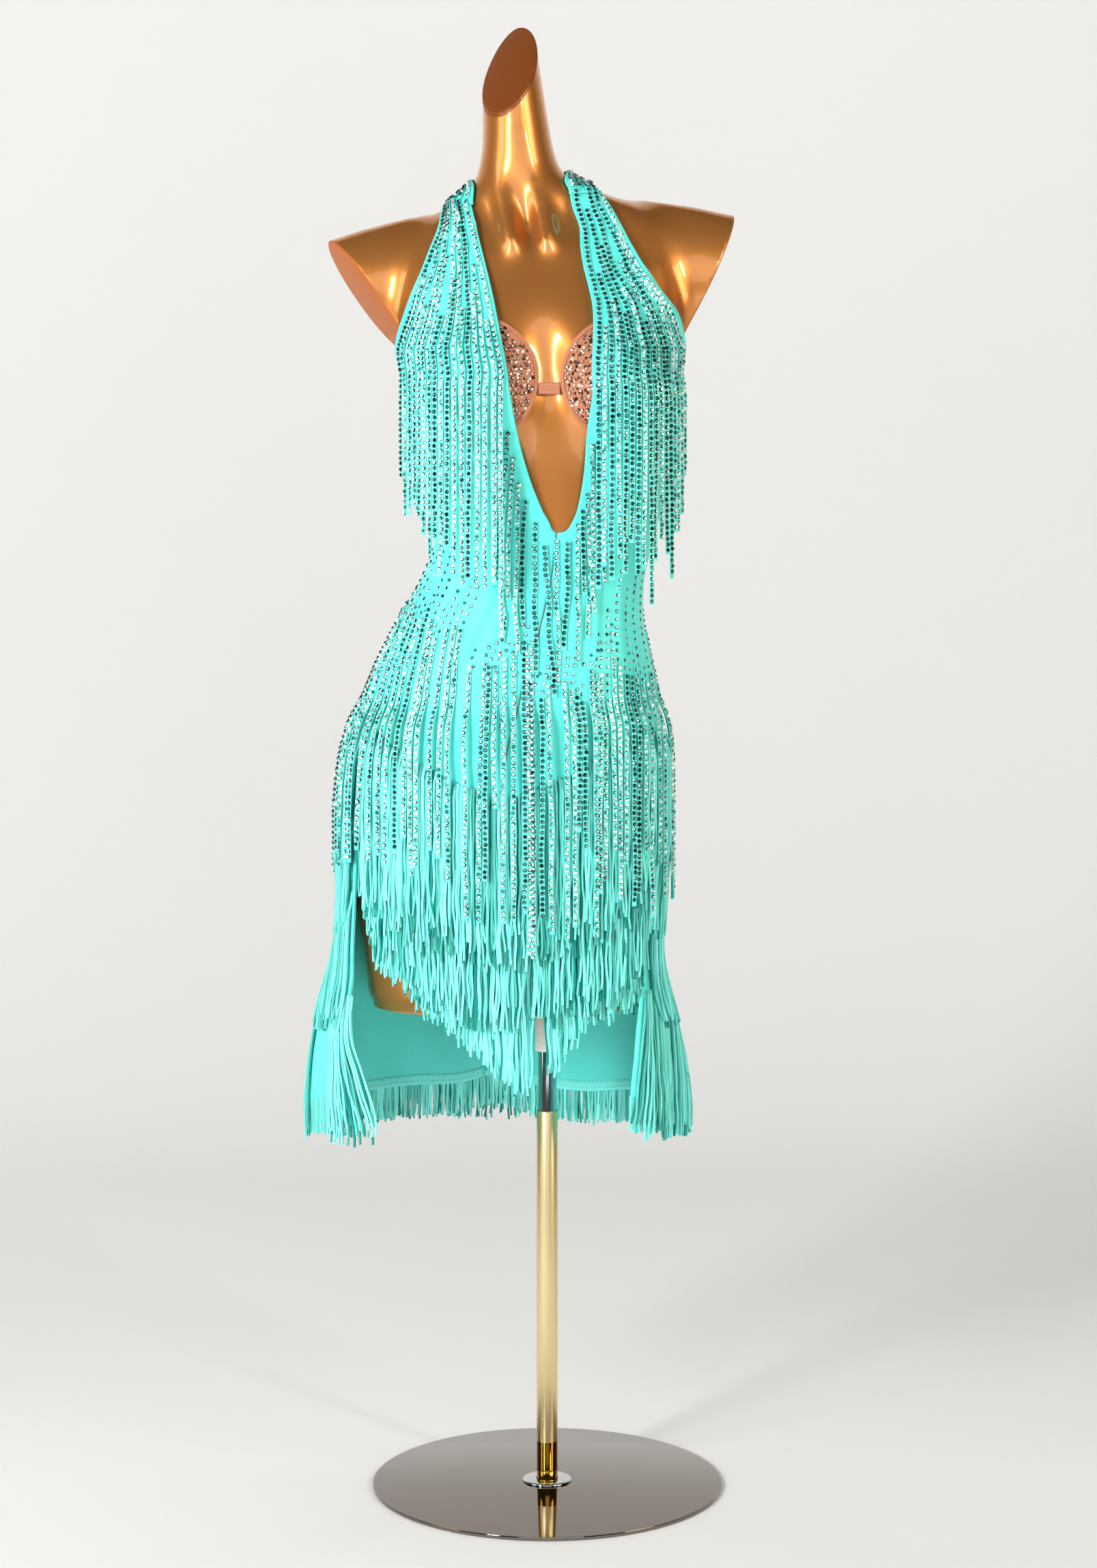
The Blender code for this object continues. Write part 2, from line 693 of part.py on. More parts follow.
def strap_limits(z, side):
    """The inner and outer edge of a front at a height, as turns. side is -1 on the left, 1 on the right."""
    name = "left" if side < 0 else "right"
    if z <= V_POINT:
        inner = FRONT
    elif z <= V_EDGE[-1].z:
        inner = turn_at(cloth_surface, z, between(V_EDGE, "z", z, name))
    else:
        inner = turn_at(cloth_surface, z, between(STRAP, "z", z, name + "_in"))
    seam = -180.0 if side < 0 else 0.0
    if z <= SIDE_TOP:
        outer = seam
    else:
        edge = turn_at(cloth_surface, z, between(STRAP, "z", z, name + "_out"))
        outer = seam + (edge - seam) * smooth((z - SIDE_TOP) / 0.050)
    gap = SEAM_GAP_DEG * side
    return inner + gap, outer - gap


def make_bodice():
    for name, side, top in (("bodice_left", -1, STRAP_TOP_LEFT), ("bodice_right", 1, STRAP_TOP_RIGHT)):
        rows = []
        for z in (*BODICE_ROWS, top):
            inner, outer = strap_limits(z, side)
            steps = [k / (BODICE_COLUMNS - 1) for k in range(BODICE_COLUMNS)]
            rows.append([(z, inner + (outer - inner) * step) for step in steps])
        wall(name, cloth_surface, rows, CLOTH_IN, CLOTH_OUT, TURQUOISE, "turquoise_cloth")

    # The back starts at the side seams and dips to a low curve
    rows, row_count, column_count = [], 8, 16
    for j in range(row_count + 1):
        row = []
        for i in range(column_count + 1):
            turn = SEAM_GAP_DEG + (180 - 2 * SEAM_GAP_DEG) * i / column_count
            dip = math.sin(math.radians(turn)) ** 0.8
            top = SIDE_TOP - 0.001 - (SIDE_TOP - BACK_TOP) * dip
            low = HIP_SEAM + FIT_GAP
            row.append((low + (top - low) * j / row_count, turn))
        rows.append(row)
    wall("back_panel", cloth_surface, rows, CLOTH_IN, CLOTH_OUT, TURQUOISE, "turquoise_cloth")

    # The neck band joins the two straps behind the nape
    rows = []
    for share in (0, 0.5, 1):
        row = []
        for k in range(21):
            turn = -26 + 232 * k / 20
            behind = smooth(math.sin(math.radians(turn)))
            to_right = smooth((math.cos(math.radians(turn)) + 1) / 2)
            low = STRAP_TOP_LEFT + 0.0012 + (STRAP_TOP_RIGHT - STRAP_TOP_LEFT) * to_right + 0.006 * behind
            high = 1.344 + 0.006 * to_right + 0.007 * behind
            row.append((low + (high - low) * share, turn))
        rows.append(row)
    wall("neck_band", cloth_surface, rows, CLOTH_IN, CLOTH_OUT, TURQUOISE, "turquoise_cloth")


# ---------------------------------------------------------------- skirts


def apron_hem(turn):
    side = min(abs(turn - FRONT) / APRON_HALF_DEG, 1)
    return APRON_HEM_CENTRE + (APRON_HEM_SIDE - APRON_HEM_CENTRE) * side


def hem_shift(turn):
    """How far the back skirt's hem is from its height at the side: it rises forwards and falls behind."""
    n = math.sin(math.radians(turn))
    return -n * (HEM_FALL_BACK if n > 0 else HEM_RISE_FRONT)


def skirt_edge(z, side):
    """The turn of the back skirt's front edge. side is -1 on the left (past 180), 1 on the right."""
    if side > 0:
        return FRONT + flare_at(z).edge_right
    return 360 + FRONT - flare_at(z).edge_left


def make_skirts():
    rows = []
    for j in range(6):
        row = []
        for i in range(15):
            turn = FRONT - APRON_HALF_DEG + 2 * APRON_HALF_DEG * i / 14
            top = HIP_SEAM
            row.append((top + (apron_hem(turn) - top) * j / 5, turn))
        rows.append(row)
    wall("skirt_front", cloth_surface, rows, CLOTH_IN, CLOTH_OUT, TURQUOISE, "turquoise_cloth")

    rows, columns = [], 32
    for j in range(10):
        share = j / 9
        level = HIP_SEAM - (HIP_SEAM - HEM_SIDE) * share
        start, end = skirt_edge(level, 1), skirt_edge(level, -1)
        turns = [start + (end - start) * i / columns for i in range(columns + 1)]
        rows.append([(level + hem_shift(turn) * share**2, turn) for turn in turns])
    wall("skirt_back", skirt_point, rows, CLOTH_IN, CLOTH_OUT, TURQUOISE, "turquoise_cloth")


# ---------------------------------------------------------------- strips and fringe


def pushed_out(point, surface, out):
    """Moves a hanging point straight out from the trunk's middle to a surface, if it is inside it."""
    s = trunk(point.z)
    middle = Vector((s.mid, (s.front + s.back) / 2))
    aim = point.xy - middle
    guess = math.degrees(math.atan2(aim.y, aim.x))
    low, high = guess - 30, guess + 30
    for _ in range(12):
        turn = (low + high) / 2
        shell = lifted(surface, point.z, turn, out).xy - middle
        if shell.cross(aim) > 0:
            low = turn
        else:
            high = turn
    if aim.length >= shell.length:
        return point
    aim *= shell.length / aim.length
    return Vector((middle.x + aim.x, middle.y + aim.y, point.z))


def simplified(path, slack):
    """The same line with fewer points, none of which moves more than the slack."""
    if len(path) < 3:
        return path
    ends = (path[-1] - path[0]).normalized()
    away = [((p - path[0]) - ends * (p - path[0]).dot(ends)).length for p in path]
    farthest = max(range(len(path)), key=away.__getitem__)
    if away[farthest] < slack:
        return [path[0], path[-1]]
    return simplified(path[: farthest + 1], slack)[:-1] + simplified(path[farthest:], slack)


HANG_STEPS = 16


def hang(root, end_z, surface, out_at, slack):
    """The points of a strand that hangs from its root and is carried out by what lies under it."""
    path = [root.copy()]
    for k in range(1, HANG_STEPS + 1):
        z = root.z + (end_z - root.z) * k / HANG_STEPS
        below = Vector((path[-1].x, path[-1].y, z))
        path.append(pushed_out(below, surface, out_at(z) + slack))
    return simplified(path, slack)


def fringe(name, stations, share, surface, inside, outside, path_of, finish, finish_name):
    """Strands fused to a backing strip.

    stations are (z, turn) where each strand's middle is rooted, share is how much of the pitch a
    strand fills, and path_of gives a strand's middle line from its number and its root.
    """
    lines = []
    last = len(stations) - 1
    for k, (z, turn) in enumerate(stations):
        before = stations[max(k - 1, 0)]
        after = stations[min(k + 1, last)]
        steps = 1 if k in (0, last) else 2
        slope_z, slope_turn = (after[0] - before[0]) / steps, (after[1] - before[1]) / steps
        for sign in (-0.5, 0.5):
            lines.append((z + sign * share * slope_z, turn + sign * share * slope_turn))
    grids = []
    for out in (inside, outside):
        top = [lifted(surface, z + BACKING_HEIGHT, turn, out) for z, turn in lines]
        low = [lifted(surface, z, turn, out) for z, turn in lines]
        grids.append([low, top])
    bm, place = wall_mesh(*grids)
    columns = len(lines)
    underside = {}
    for face in bm.faces:
        places = {vert[place] for vert in face.verts}
        if max(places) < columns and len(places) == 2:
            underside[min(places)] = face
    for k in range(len(stations)):
        face = underside[2 * k]
        root = face.calc_center_median()
        path = path_of(k, root)
        for here, there in zip(path, path[1:]):
            face = bmesh.ops.extrude_discrete_faces(bm, faces=[face])["faces"][0]
            bmesh.ops.translate(bm, verts=face.verts[:], vec=there - here)
    return add_object(name, bm, finish, finish_name)


def stoned_strips(name, stations, share, path_of):
    fringe(name, stations, share, cloth_surface, TRIM_IN, TRIM_OUT, path_of, STONED_RIBBON, "stoned_ribbon")


def locks(name, stations, surface, path_of):
    fringe(name, stations, LOCK_SHARE, surface, LOCK_IN, LOCK_OUT, path_of, TURQUOISE, "turquoise_cord")


def uneven(k, amount, phase=0.0):
    """A small length that differs from strand to strand, the same on each run."""
    return amount * (0.6 * math.sin(2.4 * k + phase) + 0.4 * math.sin(5.3 * k + 1.7 * phase))


def strap_stations(count, side, z, first=0.1, last=0.9):
    inner, outer = strap_limits(z, side)
    shares = [first + (last - first) * k / (count - 1) for k in range(count)]
    turns = [outer + (inner - outer) * share for share in shares]
    return [(z, turn) for turn in (turns if side < 0 else turns[::-1])]


def make_strap_strips(name, side):
    """Strips that lie on the strap, fanning from the neck down to the bust."""
    root_z, end_z = 1.298, 1.185
    stations = strap_stations(STRAP_STRIPS, side, root_z)

    def path_of(k, root):
        inner, outer = strap_limits(root_z, side)
        share = (stations[k][1] - outer) / (inner - outer)
        path = [root]
        for j in range(1, HANG_STEPS + 1):
            z = root_z + (end_z - root_z) * j / HANG_STEPS
            low_inner, low_outer = strap_limits(z, side)
            turn = low_outer + (low_inner - low_outer) * share
            path.append(lifted(cloth_surface, z, turn, TRIM_MIDDLE + STRIP_SLACK))
        return simplified(path, STRIP_SLACK)

    stoned_strips(name, stations, STRIP_SHARE, path_of)


def make_chest_strips(name, side, ends):
    """Strips that hang free from across the bust, clear of the waist."""
    stations = strap_stations(CHEST_STRIPS, side, 1.168, 0.03, 0.96)

    def path_of(k, root):
        share = k / (CHEST_STRIPS - 1)
        if side > 0:
            share = 1 - share
        end_z = along(ends, share) + uneven(k, 0.012)
        return hang(root, end_z, cloth_surface, lambda z: TRIM_MIDDLE, STRIP_SLACK)

    stoned_strips(name, stations, STRIP_SHARE, path_of)


def make_centre_strips():
    stations = [(0.962, turn_at(cloth_surface, 0.962, -0.018 + 0.011 * k)) for k in range(CENTRE_STRIPS)]
    ends = (0.886, 0.872, 0.868, 0.875, 0.890)

    def path_of(k, root):
        return hang(root, ends[k], cloth_surface, lambda z: TRIM_MIDDLE, STRIP_SLACK)

    stoned_strips("strips_centre", stations, STRIP_SHARE, path_of)


def over_locks(z):
    """How far out the hip strips lie: on the cloth at first, then over the fringe below."""
    return TRIM_MIDDLE + (OVER_LOCK - TRIM_MIDDLE) * smooth((0.835 - z) / 0.035)


def make_hip_strips():
    def stations_between(first, last, count, low, high):
        rows = []
        for k in range(count):
            turn = first + (last - first) * k / (count - 1)
            dip = math.cos(math.radians(180 * (k / (count - 1) - 0.5))) ** 1.2
            rows.append((high + (low - high) * dip, turn))
        return rows

    front = stations_between(-172, -8, HIP_FRONT_STRIPS, 0.852, 0.880)
    back = stations_between(4, 176, HIP_BACK_STRIPS, 0.852, 0.880)
    for name, stations, ends in (
        ("strips_hip_front", front, HIP_FRONT_ENDS),
        ("strips_hip_back", back, HIP_BACK_ENDS),
    ):

        def path_of(k, root, ends=ends, count=len(stations)):
            end_z = along(ends, k / (count - 1)) + uneven(k, 0.022)
            return hang(root, end_z, cloth_surface, over_locks, LOCK_SLACK)

        stoned_strips(name, stations, STRIP_SHARE * 0.6, path_of)


def make_front_fringe():
    def stations(count, half_deg, side_z, centre_z):
        rows = []
        for k in range(count):
            share = 2 * k / (count - 1) - 1
            rows.append((centre_z + (side_z - centre_z) * abs(share), FRONT + half_deg * share))
        return rows

    upper = stations(FRONT_UPPER_LOCKS, APRON_HALF_DEG - 3, 0.765, 0.735)
    hem = stations(FRONT_HEM_LOCKS, APRON_HALF_DEG - 3, 0.6415, 0.5765)

    def hem_root(turn):
        share = abs(turn - FRONT) / (APRON_HALF_DEG - 3)
        return 0.5765 + BACKING_HEIGHT + (0.6415 - 0.5765) * share

    def upper_path(k, root):
        end_z = hem_root(upper[k][1]) + 0.012 + uneven(k, 0.002)
        return hang(root, end_z, cloth_surface, lambda z: LOCK_MIDDLE, LOCK_SLACK)

    def hem_path(k, root):
        end_z = between(FRONT_HEM_ENDS, "x", root.x, "z") + uneven(k, WAVER)
        return hang(root, end_z, cloth_surface, lambda z: LOCK_MIDDLE, LOCK_SLACK)

    locks("fringe_front_upper", upper, cloth_surface, upper_path)
    locks("fringe_front_hem", hem, cloth_surface, hem_path)


def make_back_fringe():
    def ends_at(z):
        return skirt_edge(z, 1) + 4, skirt_edge(z, -1) - 4

    def tier(name, count, root_z, end_z, fall):
        start, end = ends_at(root_z)
        shares = [k / (count - 1) for k in range(count)]
        turns = [start + (end - start) * share for share in shares]
        stations = [(root_z + hem_shift(turn) * fall, turn) for turn in turns]

        def path_of(k, root):
            path = [root]
            bottom = end_z + hem_shift(stations[k][1]) * fall + uneven(k, WAVER * 0.7)
            for j in range(1, HANG_STEPS + 1):
                z = stations[k][0] + (bottom - stations[k][0]) * j / HANG_STEPS
                low_start, low_end = ends_at(z)
                turn = low_start + (low_end - low_start) * shares[k]
                point = lifted(skirt_point, z, turn, LOCK_MIDDLE + LOCK_SLACK)
                path.append(Vector((point.x, point.y, z)))
            return simplified(path, LOCK_SLACK)

        locks(name, stations, skirt_point, path_of)

    tier("fringe_back_upper", BACK_UPPER_LOCKS, 0.750, 0.640, 0.0)
    tier("fringe_back_middle", BACK_MIDDLE_LOCKS, 0.618, 0.497, 0.9)
    tier("fringe_back_hem", BACK_HEM_LOCKS, 0.472, FRINGE_BOTTOM, 1.0)


def main():
    for leftover in list(bpy.data.objects):
        bpy.data.objects.remove(leftover)
    make_stand()
    make_mast_top()
    make_form()
    make_bra()
    make_bodice()
    make_skirts()
    make_strap_strips("strips_strap_left", -1)
    make_strap_strips("strips_strap_right", 1)
    make_chest_strips("strips_chest_left", -1, CHEST_LEFT_ENDS)
    make_chest_strips("strips_chest_right", 1, CHEST_RIGHT_ENDS)
    make_centre_strips()
    make_hip_strips()
    make_front_fringe()
    make_back_fringe()


main()
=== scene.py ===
"""Looks of a fringed halter dance dress on a glossy limbless torso form with a pole stand.

Metres, +Z up. The dress faces -Y, and "left" and "right" are as seen from the front, so left is -X.
A turn is an angle round the form in degrees: -90 is the front, 0 the right, 90 the back, 180 the left.
"""

import functools
import math
from collections import namedtuple

import bmesh
import bpy
import numpy as np
from mathutils import Matrix, Vector


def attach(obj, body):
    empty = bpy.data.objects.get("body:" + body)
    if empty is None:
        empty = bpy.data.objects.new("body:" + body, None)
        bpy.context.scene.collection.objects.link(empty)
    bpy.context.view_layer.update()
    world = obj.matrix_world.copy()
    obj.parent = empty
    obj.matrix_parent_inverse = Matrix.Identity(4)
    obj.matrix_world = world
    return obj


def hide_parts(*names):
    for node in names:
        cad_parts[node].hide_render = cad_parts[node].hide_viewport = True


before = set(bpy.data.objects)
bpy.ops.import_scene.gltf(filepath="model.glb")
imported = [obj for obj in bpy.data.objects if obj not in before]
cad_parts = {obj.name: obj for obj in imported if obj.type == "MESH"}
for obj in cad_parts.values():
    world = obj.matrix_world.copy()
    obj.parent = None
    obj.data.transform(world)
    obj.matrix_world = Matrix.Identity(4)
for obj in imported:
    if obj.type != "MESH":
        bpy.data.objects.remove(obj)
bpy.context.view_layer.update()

FORM = "dressed_form"
STAND = "stand"

# ---------------------------------------------------------------- sizes shared with the solids

BASE_RADIUS = 0.1825
BASE_THICKNESS = 0.004
FLANGE_RADIUS = 0.0255
FLANGE_THICKNESS = 0.003
OUTER_TUBE_RADIUS = 0.011
OUTER_TUBE_BORE = 0.0099
OUTER_TUBE_TOP = 0.398
INNER_TUBE_RADIUS = 0.0095
INNER_TUBE_BORE = 0.0083
INNER_TUBE_LENGTH = 0.395
COLLAR_RADIUS = 0.0125
COLLAR_BOTTOM = 0.461
FORM_BOTTOM = 0.507
RIM_ROUNDING = 0.009
FIT_GAP = 0.0003

# Offsets outwards from the form: brassiere, cloth, and what is sewn on the cloth
BRA_IN = 0.0020
BRA_OUT = 0.0031
CLOTH_IN = 0.0042
CLOTH_OUT = 0.0056
TRIM_IN = 0.0064
TRIM_OUT = 0.0078
LOCK_IN = 0.0064
OVER_LOCK = 0.0128
TRIM_MIDDLE = (TRIM_IN + TRIM_OUT) / 2

HIP_SEAM = 0.785
V_POINT = 0.9975
SIDE_TOP = 1.135
BACK_TOP = 0.925
HEM = 0.402
HEM_SIDE = 0.409
HEM_FALL_BACK = 0.0135
HEM_RISE_FRONT = 0.027
SEAM_GAP_DEG = 0.12
FRONT = -90.0

# ---------------------------------------------------------------- the form's sections

Section = namedtuple("Section", "z left right mid front back fullness")

# Half outlines of the trunk at each height. mid is the x of the front centre line, and
# fullness is the superellipse exponent, 2 for an ellipse.
TRUNK = (
    Section(0.380, -0.182, 0.093, -0.048, -0.078, 0.083, 2.2),
    Section(0.507, -0.184, 0.095, -0.048, -0.080, 0.086, 2.2),
    Section(0.566, -0.190, 0.100, -0.050, -0.086, 0.096, 2.2),
    Section(0.609, -0.197, 0.106, -0.050, -0.090, 0.105, 2.2),
    Section(0.652, -0.203, 0.112, -0.049, -0.094, 0.113, 2.2),
    Section(0.694, -0.206, 0.116, -0.048, -0.098, 0.119, 2.2),
    Section(0.736, -0.204, 0.116, -0.045, -0.100, 0.121, 2.2),
    Section(0.778, -0.198, 0.115, -0.040, -0.102, 0.119, 2.2),
    Section(0.820, -0.185, 0.109, -0.030, -0.102, 0.112, 2.2),
    Section(0.863, -0.168, 0.101, -0.018, -0.100, 0.100, 2.2),
    Section(0.904, -0.147, 0.093, -0.007, -0.096, 0.088, 2.2),
    Section(0.946, -0.123, 0.093, 0.003, -0.091, 0.079, 2.2),
    Section(0.988, -0.109, 0.102, 0.009, -0.089, 0.075, 2.2),
    Section(1.030, -0.115, 0.113, 0.010, -0.090, 0.078, 2.2),
    Section(1.090, -0.132, 0.124, 0.006, -0.095, 0.088, 2.2),
    Section(1.133, -0.140, 0.128, 0.001, -0.097, 0.098, 2.2),
    Section(1.174, -0.147, 0.134, -0.004, -0.095, 0.106, 2.2),
    Section(1.215, -0.155, 0.141, -0.008, -0.088, 0.109, 2.15),
    Section(1.256, -0.160, 0.148, -0.010, -0.070, 0.106, 2.1),
    Section(1.276, -0.157, 0.149, -0.011, -0.059, 0.101, 2.0),
    Section(1.290, -0.150, 0.147, -0.013, -0.051, 0.096, 2.0),
    Section(1.302, -0.137, 0.141, -0.015, -0.045, 0.091, 2.0),
    Section(1.312, -0.119, 0.130, -0.017, -0.041, 0.086, 2.0),
    Section(1.322, -0.102, 0.106, -0.019, -0.038, 0.081, 2.0),
    Section(1.331, -0.090, 0.076, -0.021, -0.037, 0.077, 2.0),
    Section(1.341, -0.079, 0.044, -0.023, -0.036, 0.073, 2.0),
    Section(1.351, -0.072, 0.023, -0.025, -0.036, 0.069, 2.0),
    Section(1.362, -0.069, 0.013, -0.027, -0.036, 0.066, 2.0),
    Section(1.378, -0.066, 0.007, -0.029, -0.037, 0.062, 2.0),
    Section(1.398, -0.065, 0.003, -0.031, -0.038, 0.059, 2.0),
    Section(1.439, -0.065, -0.004, -0.034, -0.040, 0.054, 2.0),
    Section(1.479, -0.063, -0.010, -0.036, -0.042, 0.050, 2.0),
    Section(1.540, -0.060, -0.018, -0.038, -0.044, 0.046, 2.0),
)

Bump = namedtuple("Bump", "x_from_mid z height spread_x spread_up spread_down front")

# The form's own bust and seat, and the same under stretched cloth, which bridges the hollows
FORM_BUMPS = (
    Bump(-0.070, 1.135, 0.038, 0.042, 0.062, 0.042, True),
    Bump(0.070, 1.135, 0.038, 0.042, 0.062, 0.042, True),
    Bump(-0.075, 0.715, 0.022, 0.070, 0.075, 0.060, False),
    Bump(0.075, 0.715, 0.022, 0.070, 0.075, 0.060, False),
)
CLOTH_BUMPS = (
    Bump(-0.070, 1.135, 0.0395, 0.046, 0.064, 0.080, True),
    Bump(0.070, 1.135, 0.0395, 0.046, 0.064, 0.080, True),
    Bump(-0.075, 0.715, 0.023, 0.074, 0.080, 0.080, False),
    Bump(0.075, 0.715, 0.023, 0.074, 0.080, 0.080, False),
)

Plane = namedtuple("Plane", "point normal")
NECK_CUT = Plane(Vector((-0.038, 0.003, 1.4545)), Vector((-0.547, -0.579, 0.604)))
LEFT_ARM_CUT = Plane(Vector((-0.222, 0.028, 1.291)), Vector((-0.80, -0.22, -0.55)))
RIGHT_ARM_CUT = Plane(Vector((0.188, 0.028, 1.316)), Vector((0.90, 0.15, -0.42)))
NECK_CAP_THICKNESS = 0.002

ArmSection = namedtuple("ArmSection", "x top bottom half_depth y")
LEFT_ARM = (
    ArmSection(-0.090, 1.312, 1.200, 0.036, 0.026),
    ArmSection(-0.115, 1.317, 1.190, 0.042, 0.026),
    ArmSection(-0.140, 1.3125, 1.180, 0.047, 0.027),
    ArmSection(-0.170, 1.3055, 1.174, 0.051, 0.028),
    ArmSection(-0.200, 1.297, 1.168, 0.051, 0.028),
    ArmSection(-0.250, 1.280, 1.158, 0.047, 0.028),
)
RIGHT_ARM = (
    ArmSection(0.060, 1.330, 1.215, 0.036, 0.026),
    ArmSection(0.090, 1.3310, 1.206, 0.040, 0.026),
    ArmSection(0.120, 1.3275, 1.196, 0.046, 0.027),
    ArmSection(0.150, 1.3235, 1.186, 0.050, 0.028),
    ArmSection(0.180, 1.3170, 1.178, 0.050, 0.028),
    ArmSection(0.230, 1.3080, 1.168, 0.046, 0.028),
)

# ---------------------------------------------------------------- the dress's outlines

# Where the halter fronts' edges run, as the x of each edge at a height
StrapEdge = namedtuple("StrapEdge", "z left_out left_in right_in right_out")
STRAP = (
    StrapEdge(1.135, -0.146, -0.038, 0.046, 0.134),
    StrapEdge(1.160, -0.149, -0.041, 0.045, 0.136),
    StrapEdge(1.190, -0.146, -0.046, 0.045, 0.133),
    StrapEdge(1.215, -0.138, -0.050, 0.044, 0.126),
    StrapEdge(1.235, -0.131, -0.054, 0.040, 0.111),
    StrapEdge(1.256, -0.122, -0.059, 0.035, 0.096),
    StrapEdge(1.276, -0.115, -0.064, 0.032, 0.085),
    StrapEdge(1.297, -0.107, -0.069, 0.031, 0.074),
    StrapEdge(1.317, -0.103, -0.073, 0.024, 0.063),
    StrapEdge(1.331, -0.099, -0.075, 0.021, 0.052),
)
STRAP_TOP_LEFT = 1.3205
STRAP_TOP_RIGHT = 1.3310

VEdge = namedtuple("VEdge", "z left right")
V_EDGE = (
    VEdge(0.9975, 0.0115, 0.0120),
    VEdge(0.9983, 0.0084, 0.0156),
    VEdge(1.0000, 0.0062, 0.0186),
    VEdge(1.0030, 0.0046, 0.0212),
    VEdge(1.008, 0.0028, 0.0240),
    VEdge(1.020, -0.0040, 0.0290),
    VEdge(1.055, -0.0180, 0.0360),
    VEdge(1.095, -0.0300, 0.0400),
    VEdge(1.135, -0.0380, 0.0460),
)

# How far the back skirt stands off the form's own section, and where its two front edges are,
# in degrees from the front
Flare = namedtuple("Flare", "z left right back edge_left edge_right")
FLARE = (
    Flare(0.785, 0.000, 0.000, 0.000, 60.2, 60.2),
    Flare(0.700, 0.000, 0.000, 0.000, 60.2, 61.0),
    Flare(0.652, 0.003, 0.002, 0.002, 62.0, 65.0),
    Flare(0.609, 0.009, 0.005, 0.008, 64.0, 67.0),
    Flare(0.566, 0.021, 0.009, 0.018, 62.0, 66.0),
    Flare(0.540, 0.030, 0.014, 0.025, 58.5, 62.0),
    Flare(0.512, 0.040, 0.022, 0.034, 56.5, 55.5),
    Flare(0.481, 0.047, 0.030, 0.041, 54.5, 49.5),
    Flare(0.440, 0.053, 0.037, 0.049, 49.0, 45.5),
    Flare(0.402, 0.056, 0.041, 0.055, 45.0, 43.0),
)
# The soft flutes in the back skirt's hem: where each stands out, how far, and how wide
Flute = namedtuple("Flute", "turn_deg depth width_deg")
FLUTES = (
    Flute(222.0, 0.010, 9.0),
    Flute(196.0, -0.007, 10.0),
    Flute(170.0, 0.007, 12.0),
    Flute(140.0, -0.009, 11.0),
    Flute(114.0, 0.009, 12.0),
    Flute(86.0, -0.008, 12.0),
    Flute(58.0, 0.009, 12.0),
    Flute(30.0, -0.007, 11.0),
    Flute(4.0, 0.007, 11.0),
    Flute(-18.0, -0.005, 8.0),
    Flute(-40.0, 0.008, 8.0),
)
FLUTE_TOP = 0.60

# The front apron's cloth hem under its fringe, by turn either side of the centre
APRON_HALF_DEG = 59.5
APRON_HEM_SIDE = 0.640
APRON_HEM_CENTRE = 0.575

# The form's own shallow relief above the dress: the throat's hollow and the collar bones
FORM_RELIEF = (
    Bump(-0.022, 1.290, 0.0170, 0.0090, 0.044, 0.017, True),
    Bump(0.012, 1.292, 0.0170, 0.0090, 0.044, 0.017, True),
    Bump(-0.0050, 1.296, -0.0120, 0.0080, 0.026, 0.020, True),
    Bump(-0.048, 1.304, -0.0060, 0.0120, 0.024, 0.020, True),
    Bump(0.038, 1.306, -0.0060, 0.0120, 0.024, 0.020, True),
    Bump(-0.064, 1.272, 0.0022, 0.030, 0.008, 0.010, True),
    Bump(0.056, 1.276, 0.0022, 0.030, 0.008, 0.010, True),
    Bump(0.004, 1.165, -0.0070, 0.014, 0.040, 0.050, True),
)

# ---------------------------------------------------------------- sizes of the looks

RIBBON_WIDTH = 0.0052
RIBBON_THICKNESS = 0.0008
STONE_RADIUS = 0.0024
STONE_PITCH = 0.0055
GLUED_RADIUS = 0.0023
CORD_RADIUS = 0.0010
TURNED_EDGE = 0.0042
STRAP_DRAW_IN = 0.0026
# The foot of the pole is polished up to this height
POLISHED_TO = 0.047


def unit(vectors):
    return vectors / np.linalg.norm(vectors, axis=-1, keepdims=True)


def crossed(by_row, by_column):
    """Two grids: values that change from row to row, and values that change along a row."""
    return np.meshgrid(by_row, by_column, indexing="ij")


def run_along(lines):
    """Distances along lines of points from their starts."""
    steps = np.linalg.norm(np.diff(lines, axis=-2), axis=-1)
    return np.insert(np.cumsum(steps, axis=-1), 0, 0, axis=-1)


@functools.lru_cache(maxsize=None)
def columns(rows, column, field):
    """A table's places, values and slopes, in order along one column."""
    pairs = sorted((getattr(row, column), getattr(row, field)) for row in rows)
    places, values = (np.array(side) for side in zip(*pairs))
    count = np.arange(len(places))
    low, high = np.maximum(count - 1, 0), np.minimum(count + 1, len(places) - 1)
    return places, values, (values[high] - values[low]) / (places[high] - places[low])


def between(rows, column, keys, field):
    """Smooth values of one column of a table, read at keys along another."""
    places, values, slopes = columns(rows, column, field)
    keys = np.clip(keys, places[0], places[-1])
    i = np.clip(np.searchsorted(places, keys, side="right") - 1, 0, len(places) - 2)
    span = places[i + 1] - places[i]
    t = (keys - places[i]) / span
    return (
        (2 * t**3 - 3 * t**2 + 1) * values[i]
        + (t**3 - 2 * t**2 + t) * span * slopes[i]
        + (3 * t**2 - 2 * t**3) * values[i + 1]
        + (t**3 - t**2) * span * slopes[i + 1]
    )


def smooth(t):
    t = np.clip(t, 0.0, 1.0)
    return t * t * (3 - 2 * t)


def power(value, exponent):
    return np.sign(value) * np.abs(value) ** exponent


